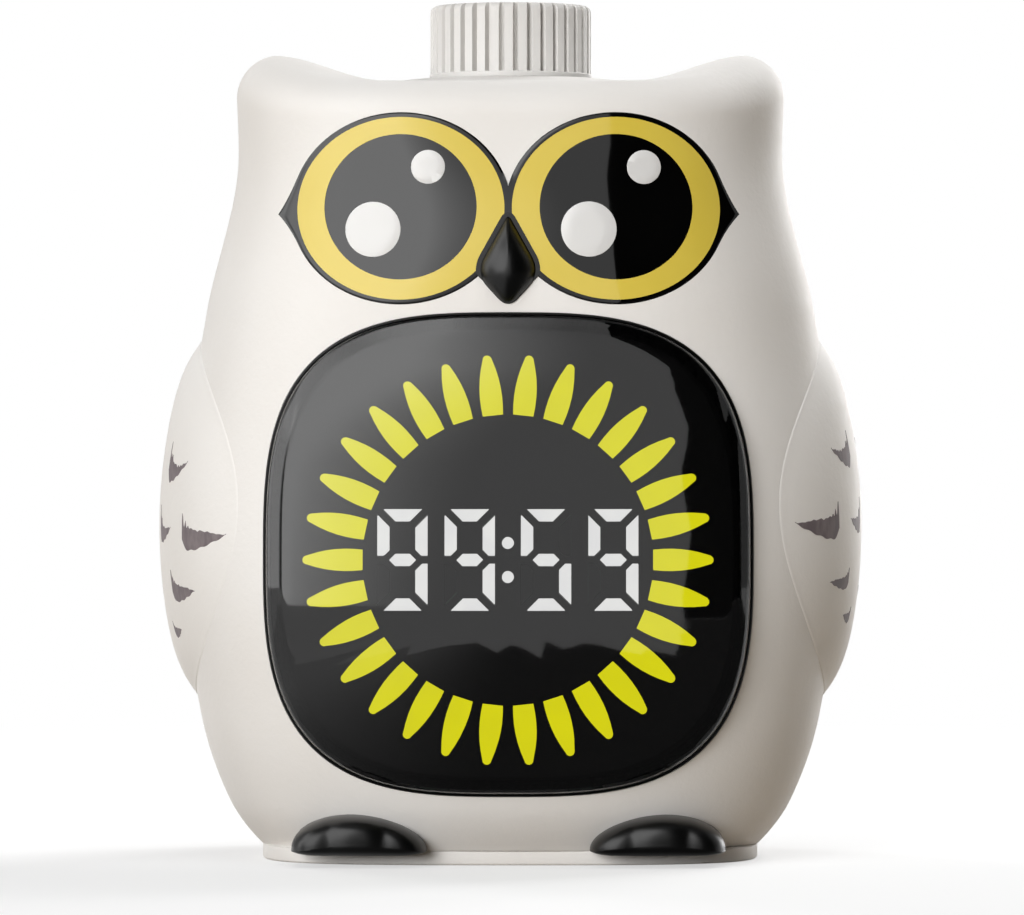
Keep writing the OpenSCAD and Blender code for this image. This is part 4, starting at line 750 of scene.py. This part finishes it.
rimTurns = np.linspace(0, 1, 9)[1:] * pi / 2
frontSteps = np.concatenate((np.linspace(core, stepAt(display["flatTo"]), 28),
                             *(stepAt(np.linspace(*run)) for run in display["rimRuns"]),
                             stepAt(display["rimR"] * (1 - np.sin(rimTurns)))))
lipShare = stepAt(display["lip"])
backSteps = np.concatenate(([lipShare], np.linspace(lipShare - display["lipStep"], core, 20)))
lensRings = [lensFrontRing(s) for s in frontSteps]
lensRings += [onPlane(inset(lensOutline, displayMiddle, s), display["seatY"]) for s in (1.0, lipShare)]
lensRings += [lensBackRing(s) for s in backSteps]
lens = makePiece("displayLens", *loft(lensRings), lensSmoke)
lens.data.materials.append(lensInside)
insideFrom = (len(frontSteps) + 1) * display["points"]  # faces behind the rim look inward
lastPoint = len(lens.data.vertices) - 1
for face in lens.data.polygons:
    face.material_index = int(min(face.vertices) >= insideFrom or max(face.vertices) == lastPoint)
settle(lens, "body", "smoked_lens", "display_lens")
print("display made")

# wings: swollen covers on the flanks, with painted ticks
wing = {"z": 46.9, "h": 49.4, "front": 28.8, "rear": 21.0, "points": 260,
        "tip": 6.0, "tipAt": 308, "tipSpread": 42, "tipPower": 1.5, "tipFall": 0.5,
        "proud": 2.6, "edge": 0.04, "swellPower": 2.8, "endPower": 6.5,
        "rollFrom": 0.988, "rimDip": 0.02, "sink": -0.3}


def wingOutline():
    t = np.degrees(turns(wing["points"]))
    near = np.maximum(0, 1 - np.abs(t - wing["tipAt"]) / wing["tipSpread"])
    far = wing["tip"] * near ** wing["tipPower"]
    tip, a = radians(wing["tipAt"]), np.radians(t)
    half = np.where(np.cos(a) < 0, wing["front"], wing["rear"])
    return stack((half * np.cos(a) + far * cos(tip),
                  wing["z"] + wing["h"] / 2 * np.sin(a) + far * sin(tip) * wing["tipFall"]))


wingRim = wingOutline()
wingMiddle = (0, wing["z"])
rimTurn = np.unwrap(np.arctan2(wingRim[:, 1] - wing["z"], wingRim[:, 0]))
rimReach = np.hypot(wingRim[:, 0], wingRim[:, 1] - wing["z"])


def wingSwell(s, turn):  # fuller towards the top and the bottom than at the front
    power = wing["swellPower"] + (wing["endPower"] - wing["swellPower"]) * np.sin(turn) ** 2
    return wing["edge"] + (wing["proud"] - wing["edge"]) * (1 - s**power)


def onFlank(p, h):
    return stack((skinX(p[:, 0], p[:, 1]) + h, p[:, 0], p[:, 1]))


def onWing(p, lift):
    turn = np.arctan2(p[:, 1] - wing["z"], p[:, 0])
    s = np.hypot(p[:, 0], p[:, 1] - wing["z"]) / np.interp(turn, rimTurn, rimReach, period=tau)
    return onFlank(p, wingSwell(np.clip(s, 0, 1), turn) + lift)


def rolledRim(t):  # the last part of the cover, bent down to the skin
    s = wing["rollFrom"]
    return s + (1 - s) * t, wingSwell(s, rimTurn) * sqrt(1 - t * t) - wing["rimDip"] * t


wingSteps = [(s, wingSwell(s, rimTurn)) for s in np.linspace(core, wing["rollFrom"], 44)]
wingSteps += [rolledRim(t) for t in np.linspace(0, 1, 8)[1:]] + [(1.0, wing["sink"])]

# where each tick lies on its wing: middle (y, z), length and height, in mm; the rest in shares of these
ticks = {
    "left": [(-17.2, 54.8, 6.0, 5.7), (-24.0, 45.0, 7.4, 4.8), (-13.6, 46.2, 6.0, 5.2),
             (-19.0, 37.7, 6.2, 4.4), (-14.5, 31.6, 3.2, 2.2)],
    "right": [(-16.5, 56.6, 6.0, 5.2), (-23.4, 46.6, 7.6, 4.9), (-12.6, 47.4, 6.0, 5.0),
              (-18.4, 38.7, 5.4, 3.0), (-13.9, 33.6, 3.2, 2.2)],
    "both": [(-0.6, 58.0, 6.2, 5.0), (1.6, 47.2, 6.8, 4.8), (-1.6, 37.4, 6.0, 4.0), (8.2, 40.4, 5.6, 3.8),
             (9.4, 53.6, 5.8, 4.6), (1.0, 30.4, 4.4, 3.0), (13.8, 46.6, 5.0, 3.8), (9.0, 33.0, 4.2, 2.8)],
    "spikes": [(0.01, 0.04, 0.36), (0.11, 0.02, 0.16), (0.19, 0.025, 0.1)],  # place, width, height
    "heel": 0.2, "heelUp": 0.3, "tail": (-0.16, 0.06), "lowPower": 1.8, "wave": 0.02, "waves": 26,
    "top": 0.16, "topPower": 0.9, "jag": 0.06, "jags": 19, "jagPower": 0.4, "least": 0.015,
    "hollow": 0.7, "hollowFrom": 0.68, "strips": 72, "rows": (0, 0.35, 0.7, 1), "lift": 0.035, "sink": -0.1,
    "sharpAngle": 60,
}


def tickShape(index, y, z, length, height):
    k = ticks
    u = np.linspace(0, 1, k["strips"])
    rough = np.random.default_rng(index)
    heel = k["heelUp"] * (np.clip(k["heel"] - u, 0, 1) / k["heel"]) ** 2
    tail = rough.uniform(*k["tail"])
    rise = (0.5 + tail) * (np.clip(u - k["heel"], 0, 1) / (1 - k["heel"])) ** k["lowPower"]
    low = -0.5 + heel + rise + k["wave"] * np.sin(k["waves"] * u + index)
    spikes = sum(h * np.exp(-((u - at) / wide) ** 2) for at, wide, h in k["spikes"])
    jag = np.interp(u, np.linspace(0, 1, k["jags"]), rough.uniform(-k["jag"], k["jag"], k["jags"]))
    hollow = k["hollow"] * max(0.0, height / length - k["hollowFrom"])  # tall ones dip on top
    high = tail + (k["top"] - tail) * (1 - u) ** k["topPower"] + spikes + jag * (1 - u) ** k["jagPower"]
    high = np.maximum(low + k["least"], high - hollow * np.sin(pi * u))
    place = y + (0.5 - u) * length
    rows = [stack((place, z + height * (low + (high - low) * t))) for t in k["rows"]]
    return slab(*(np.array([onWing(r, lift) for r in rows]) for lift in (k["lift"], k["sink"])))


for side, name in sides:
    cover = sided(loft([onFlank(inset(wingRim, wingMiddle, s), h) for s, h in wingSteps]), side)
    addPiece(name + "Wing", cover, whitePlastic, "body", "body_white", name + "_wing")
    marks = joinShapes([tickShape(i, *t) for i, t in enumerate(ticks[name] + ticks["both"])])
    marks = makePiece(name + "WingTicks", *sided(marks, side), wingTick, ticks["sharpAngle"])
    settle(marks, "body", "gloss_black")
print("wings made")

foot = {"inner": 11.0, "outer": 29.4, "low": 1.45, "top": 7.0, "front": 36.8, "back": 29.1, "base": 0.4,
        "tuck": 0.6, "tuckPower": 7, "lean": 0.87, "fullness": 0.47, "roll": 3.4, "clear": 0.1,
        "middleIn": 8.6, "middleUp": 1.8, "gapsIn": (5.2, 12.6), "groove": 0.75, "grooveW": 1.3,
        "grooveSoft": 0.5, "grooveRise": 1.6, "points": 220}
footMiddle = (foot["outer"] - foot["middleIn"], foot["low"] + foot["middleUp"])
toeGaps = [foot["outer"] - inward for inward in foot["gapsIn"]]


def footOutline():
    u = np.linspace(0, 1, 400)
    rise = np.sin(np.pi * u ** foot["lean"]).clip(0) ** foot["fullness"]
    x, ends = foot["outer"] + (foot["inner"] - foot["outer"]) * u, foot["low"] + foot["tuck"]
    upper = stack((x, ends + (foot["top"] - ends) * rise))
    sole = stack((x, foot["low"] + foot["tuck"] * np.abs(2 * u - 1) ** foot["tuckPower"]))
    return evenly(np.vstack((upper, sole[-2:0:-1])), foot["points"])


def plinthY(x):
    n = plinth["n"]
    return plinth["b"] * np.maximum(0, 1 - (np.abs(x) / plinth["a"]) ** n) ** (1 / n)


def toeGap(x):
    soft = foot["grooveSoft"]
    return sum(np.exp(soft - np.hypot((x - gap) / foot["grooveW"], soft)) for gap in toeGaps)


def footRing(s):
    p = inset(footRim, footMiddle, s)
    bulge = (1 - s ** foot["roll"]) ** (1 / foot["roll"])
    toes = foot["groove"] * toeGap(p[:, 0])
    reach = foot["front"] - foot["back"] - toes * ease(foot["grooveRise"] * bulge)
    return onPlane(p, -foot["back"] - foot["base"] - reach * bulge)


def footBackRing(s):  # flat inside the shell, and along skin and plinth past it
    p = inset(footRim, footMiddle, s)
    outside = np.maximum(skinAt(p), plinthY(p[:, 0])) + foot["clear"]
    return onPlane(p, -np.minimum(foot["back"], outside))


footRim = footOutline()
footRings = [footRing(s) for s in np.sin(np.linspace(0.03, 1, 34) * pi / 2)]
footRings += [footBackRing(s) for s in np.linspace(1, 0.05, 16)]
for side, name in sides:
    addPiece(name + "Foot", sided(loft(footRings), side), footBlack, "body", "gloss_black", name + "_foot")

# knob: grooved grip over a plain band, hollow inside
knob = {"r": 11.2, "low": 107.8, "top": 118.2, "edge": 1.0, "turn": 4.1, "grooves": 36, "depth": 1.15,
        "grooveFlat": 0.09, "grooveSide": 0.11, "gripFrom": (0.04, 0.2), "topRings": (9.6, 6.0, 2.0),
        "band": 0.9, "bandProud": 0.1, "bandLow": 0.2, "bandEdge": 0.12,
        "wallR": 8.8, "ceiling": 116.2, "ceilingR": 2.0, "stemR": 5.0, "stemLow": 110.8, "boreR": 3.05}
halfPitch = np.array([0.36, 0.27, 0.23, 0.2, 0.175, 0.15, 0.125, 0.09, 0.04])  # shares of one groove's step
pitch = np.concatenate(([-0.5], -halfPitch, halfPitch[::-1]))
slots = (np.arange(knob["grooves"])[:, None] + pitch[None, :]).ravel()
knobTurn = slots * tau / knob["grooves"] - pi / 2 + radians(knob["turn"])
inGroove = np.tile(1 - ease((np.abs(pitch) - knob["grooveFlat"]) / knob["grooveSide"]), knob["grooves"])


def knobRing(r, z, grooved=False):
    radius = np.full(len(knobTurn), r)
    if grooved:
        radius = np.minimum(r, knob["r"] - knob["depth"] * inGroove)
    return level(stack((radius * np.cos(knobTurn), radius * np.sin(knobTurn))), z)


bandR, bandTop = knob["r"] + knob["bandProud"], knob["low"] + knob["band"]
bore, stem, stemLow, ceiling = (knob[key] for key in ("boreR", "stemR", "stemLow", "ceiling"))
inside = [(knob["ceilingR"], ceiling), (bore, ceiling), (bore, stemLow), (stem, stemLow), (stem, ceiling),
          (knob["wallR"], ceiling)]
band = [(knob["wallR"], knob["low"]), (bandR - knob["bandLow"], knob["low"]),
        (bandR, knob["low"] + knob["bandLow"]), (bandR, bandTop - knob["bandEdge"]),
        (bandR - knob["bandProud"], bandTop)]
gripLow, gripStart = (bandTop + up for up in knob["gripFrom"])
grip = [(knob["r"], z) for z in (gripLow, *np.linspace(gripStart, knob["top"] - knob["edge"], 8))]
grip += [(knob["r"] - knob["edge"] * (1 - cos(t)), knob["top"] - knob["edge"] * (1 - sin(t)))
         for t in np.linspace(0, pi / 2, 10)[1:]]
knobRings = [knobRing(r, z) for r, z in inside + band] + [knobRing(r, z, grooved=True) for r, z in grip]
knobRings += [knobRing(r, knob["top"]) for r in knob["topRings"]]
addPiece("knob", loft(knobRings), knobShadedWhite, "knob", "body_white", "knob")
print("feet and knob made")

# battery door with its hinge tabs and grip ribs
door = {"t": 1.8, "points": 220, "flatTo": 0.975, "roll": [(0.985, -0.04), (0.994, -0.12), (1.0, -0.3)],
        "tabX": 10.35, "tabW": 5.0, "tabReach": 2.2, "tabT": 1.5, "tabSink": 0.4, "tabOver": 0.2,
        "tabHook": 0.6, "tabUp": 3, "ribs": 3, "ribZ": 54.5, "ribStep": 2.0, "ribHw": 6.0, "ribR": 0.55,
        "ribRound": 0.1, "ribLeast": 0.05, "ribPoints": 20}
doorEdge = evenly(roundedBox(back["doorHw"] - back["gap"], back["doorLow"] + back["gap"],
                             back["doorTop"] - back["gap"], back["doorRound"]), door["points"])
doorMiddle = (0, (back["doorLow"] + back["doorTop"]) / 2)


def onRear(p, h):
    return onPlane(p, skinAt(p) + h)


doorSteps = [(s, 0.0) for s in np.linspace(core, door["flatTo"], 26)] + door["roll"] + [(1.0, -door["t"])]
doorSteps += [(s, -door["t"]) for s in np.linspace(0.96, core, 12)]
doorParts = [loft([onRear(inset(doorEdge, doorMiddle, s), h) for s, h in doorSteps])]


def doorTab(x):
    low = back["doorLow"]
    end, step, top = low - door["tabReach"], low + back["gap"] + door["tabOver"], low + door["tabUp"]
    y = skinY(door["tabX"], end) - body["wall"] - door["tabSink"]
    rear, front = y + body["wall"] + door["tabHook"], y - door["tabT"]
    outline = [(front, end), (y, end), (y, step), (rear, step), (rear, top), (front, top)]
    return loft([[(x + dx, py, pz) for py, pz in outline] for dx in (-door["tabW"] / 2, door["tabW"] / 2)])


def gripRib(z):
    rings = []
    for e in np.linspace(-1, 1, 25):
        pastEnd = max(0.0, (abs(e) - (1 - door["ribRound"])) / door["ribRound"])
        r = door["ribR"] * max(door["ribLeast"], sqrt(max(0.0, 1 - pastEnd**2)))
        x = e * door["ribHw"]
        p = circle(skinY(x, z), z, r, door["ribPoints"])
        rings.append(stack((np.full(len(p), x), p)))
    return loft(rings)


doorParts += [doorTab(x) for x in (-door["tabX"], door["tabX"])]
doorParts += [gripRib(door["ribZ"] + k * door["ribStep"]) for k in range(door["ribs"])]
addPiece("batteryDoor", joinShapes(doorParts), whitePlastic, "door", "body_white", "battery_door")

# the solids that stay
softEdges = {"volume_slider": 0.25, "base_pads": 0.2, "volume_switch": 0.15}
for row in frame["record"]["subparts"]:
    solid = frame["nodes"][row["node"]]
    solid.data.materials.clear()
    solid.data.materials.append(finishes[row["material_slot"]])
for name, width in softEdges.items():
    bevel = frame["nodes"][name].modifiers.new("softEdge", "BEVEL")
    bevel.width, bevel.segments, bevel.limit_method = width * mm, 3, "ANGLE"
print("solids finished")

# stage, in metres
stage = {"rings": (0.05, 0.2, 0.6, 3.0), "points": 96, "shadowR": 0.15, "whiteR": 0.5, "least": 0.55,
         "floorGrey": 0.9, "bounce": (0.315, 0.26, 0.195, 1), "rough": 0.9, "shine": 0.1, "ambient": 0.0,
         "aim": (0, 0, 0.06)}
white = grey(1)


def floorFinish():  # white far away, and round the part a floor that takes the shadow
    f = Finish("paleFloor", Roughness=stage["rough"], Shine=stage["shine"])
    away = f.node("ShaderNodeVectorMath", {"operation": "LENGTH"}, {0: f.where()}, out="Value")
    fade = f.between(away, stage["shadowR"], stage["whiteR"], stage["least"], 1.0)
    seen = f.seen()
    f.feed("Base Color", f.blend(seen, stage["bounce"], grey(stage["floorGrey"])))
    bright = f.node("ShaderNodeEmission", {}, {"Color": white, "Strength": 1.0})
    f.surface(fade * seen, Sock(f, f.shader.outputs[0]), bright)
    return f.mat


rows, count = len(stage["rings"]), stage["points"]
floorPoints = np.vstack([level(circle(0, 0, r, count), 0) / mm for r in stage["rings"]] + [[(0, 0, 0)]])
floorFaces = gridFaces(rows, count, wrap=True).tolist()
floorFaces += [[rows * count, (j + 1) % count, j] for j in range(count)]
floor = makePiece("floor", floorPoints, floorFaces, floorFinish())

# white where it is seen, and no light otherwise
world = bpy.data.worlds.new("studio")
scene.world = world
world.use_nodes = True
around = Nodes(world.node_tree)
dim, bright = (around.node("ShaderNodeBackground", {}, {"Color": white, "Strength": strength})
               for strength in (stage["ambient"], 1.0))
around.surface(around.seen(), dim, bright)

# lamps in metres: place, width, height, watts; the gloss sees the painted dome below instead
lamps = {
    "key": ((-0.55, -1.35, 0.3), 0.6, 0.5, 12.8),
    "left": ((-0.9, -1.1, 0.45), 0.8, 0.8, 5.4),
    "top": ((0.15, -0.35, 1.35), 0.8, 0.6, 5.4),
    "rimLeft": ((-0.6, 0.85, 0.35), 0.2, 0.8, 6.5),
    "rimRight": ((0.65, 0.7, 1.0), 0.3, 0.6, 8.5),
    "right": ((1.0, 0.35, 1.1), 0.4, 0.6, 2.2),
    "edge": ((0.5, 0.95, 0.6), 0.2, 0.6, 5.0),
}


def turnTo(obj, aim):
    obj.rotation_euler = (Vector(aim) - obj.location).to_track_quat("-Z", "Y").to_euler()


for name, (place, width, height, watts) in lamps.items():
    light = bpy.data.lights.new(name, "AREA")
    light.shape, light.size, light.size_y, light.energy = "RECTANGLE", width, height, watts
    lamp = bpy.data.objects.new(name, light)
    lamp.location = place
    turnTo(lamp, stage["aim"])
    lamp.visible_glossy = False
    scene.collection.objects.link(lamp)

# what the gloss sees: a dome with broad soft lights on the left and low behind on the right, and dark cards
# to the right and before the feet; pairs of degrees are where a change starts and how far it goes
heaven = {"r": 2.2, "columns": 288, "rows": 72, "low": -1.0, "top": 89,
          "keyUp": [-2, 6, 12.8, 17.2, 22], "keyYaw": [-6.5, -5, -3.5, 0.5, 8], "keyWide": 12.4,
          "keyPower": 1.6, "keyGain": 1.6, "keyMost": 2.7, "keyTop": (42, 16),
          "endUp": [6, 40], "endYaw": [56, 105], "endWide": 14,
          "side": 2.4, "sideFrom": (82, 6), "sideTo": (104, 8), "sideTop": (20, 12),
          "rear": 4.0, "rearFrom": (115, 40), "rearTop": (5, 25),
          "flanks": 0.62, "flanksFrom": (45, 30), "high": 0.8, "highFrom": (38, 18)}
cards = {"edgeYaw": 16.2, "edgeAway": 0.95, "endYaw": 88.0, "low": 0.001, "top": 1.3, "columns": 30,
         "rows": 40, "jag": 0.006, "jagAlong": (1.0, 0.3), "near": -0.0298, "far": -0.41, "bow": 0.13,
         "bowX": 0.13, "nearest": -0.22, "hw": 0.7, "end": 0.0968, "points": 90, "rayFrom": 0.347,
         "ragged": 0.075, "raggedBy": 0.6, "lift": 0.0006, "paleFrom": -0.1, "greys": (0.07, 0.75),
         "blacks": (0.002, 0.004), "seed": 5}


def rise(value, start, width):
    return ease((value - start) / width)


def fall(value, start, width):
    return 1 - rise(value, start, width)


def skyGlow(yaw, up):  # degrees, to the left below zero
    h, left = heaven, -yaw
    start, end = np.interp(up, h["keyUp"], h["keyYaw"]), np.interp(up, h["endUp"], h["endYaw"])
    key = h["keyGain"] * (np.maximum(0, start - yaw) / h["keyWide"]) ** h["keyPower"]
    key = np.minimum(key, h["keyMost"]) * fall(left, end, h["endWide"]) * fall(up, *h["keyTop"])
    side = h["side"] * rise(left, *h["sideFrom"]) * fall(left, *h["sideTo"]) * fall(up, *h["sideTop"])
    rear = h["rear"] * rise(yaw, *h["rearFrom"]) * fall(up, *h["rearTop"])
    plain = 1 - h["flanks"] * rise(np.abs(yaw), *h["flanksFrom"])
    return plain * (1 - h["high"] * rise(up, *h["highFrom"])) + (key + side + rear)


def cardFinish(name, glow):
    return Finish(name, Roughness=1.0, Shine=0.0, Emission_Strength=glow, Base_Color=grey(0))


def glowFinish():
    f = cardFinish("skyDome", 1.0)
    f.feed("Emission Color", f.node("ShaderNodeAttribute", {"attribute_name": "glow"}, out="Color"))
    return f.mat


def groundFinish():  # a dark ground, a little paler to the left
    f = cardFinish("darkGround", 1.0)
    pale = f.between(f.along("X"), cards["paleFrom"], 0.0, 1.0, 0.0)
    f.feed("Emission Color", f.blend(pale, *map(grey, cards["greys"])))
    return f.mat


def darkFinish():
    f = cardFinish("darkCard", 0.0)
    f.feed("Base Color", f.blend(f.noise(3.0), *map(grey, cards["blacks"])))
    return f.mat


yaws, ups = np.meshgrid(np.linspace(-180, 180, heaven["columns"] + 1)[:-1],
                        np.linspace(heaven["low"], heaven["top"], heaven["rows"]))
yawR, upR = np.radians(yaws), np.radians(ups)
sky = np.stack((np.sin(yawR) * np.cos(upR), -np.cos(yawR) * np.cos(upR), np.sin(upR)), -1) * heaven["r"] / mm
skyFaces = gridFaces(heaven["rows"], heaven["columns"], wrap=True)
skyDome = makePiece("skyDome", sky.reshape(-1, 3), skyFaces, glowFinish())
glow = np.repeat(skyGlow(yaws, ups).reshape(-1, 1), 4, axis=1)
skyDome.data.color_attributes.new("glow", "FLOAT_COLOR", "POINT").data.foreach_set("color", glow.ravel())


def roundPart(yaw):
    return stack((np.sin(yaw), -np.cos(yaw)))


jag = np.random.default_rng(cards["seed"])
cardYaws = np.linspace(cards["edgeYaw"], cards["endYaw"], cards["columns"])
cardFoot = roundPart(np.radians(cardYaws)) * cards["edgeAway"]
wall = np.array([level(cardFoot, z) for z in np.linspace(cards["low"], cards["top"], cards["rows"])])
wall[:, 0, :2] += jag.normal(0, cards["jag"], cards["rows"])[:, None] * np.array(cards["jagAlong"])
wallFaces = gridFaces(cards["rows"], cards["columns"])
rightCard = makePiece("rightCard", wall.reshape(-1, 3) / mm, wallFaces, darkFinish())
u = np.linspace(-cards["hw"], cards["end"], cards["points"])
far = np.minimum(cards["nearest"], cards["far"] + cards["bow"] * (u / cards["bowX"]) ** 2)
far = far + cards["ragged"] * jag.normal(0, cards["raggedBy"], len(u))
away = np.linspace(cards["rayFrom"], cards["edgeAway"], cards["columns"])
ray = np.radians(cards["edgeYaw"]) + jag.normal(0, cards["jag"], len(away))
corners = [(cardFoot[-1][0], cards["near"]), (-cards["hw"], cards["near"])]
outline = np.vstack((stack((u, far)), roundPart(ray) * away[:, None], cardFoot[1:], corners))
floorCard = makePiece("floorCard", level(outline, cards["lift"]) / mm, [range(len(outline))], groundFinish())

for card in (skyDome, rightCard, floorCard):
    card.visible_camera = card.visible_diffuse = card.visible_shadow = card.visible_transmission = False

# camera, as far as the photograph's perspective says
camera = {"away": 1.03, "yaw": 0.6, "height": 0.0553, "aside": 0.00018, "lens": 259.6, "sensor": 36.0,
          "clip": (0.01, 20.0)}
view = bpy.data.cameras.new("camera")
view.lens, view.sensor_width = camera["lens"], camera["sensor"]
view.clip_start, view.clip_end = camera["clip"]
eyePoint = bpy.data.objects.new("camera", view)
target = Vector((camera["aside"], 0, camera["height"]))
yaw = radians(camera["yaw"])
eyePoint.location = target + camera["away"] * Vector((sin(yaw), -cos(yaw), 0))
turnTo(eyePoint, target)
scene.collection.objects.link(eyePoint)
scene.camera = eyePoint
scene.view_settings.view_transform = "Standard"
print("stage set")
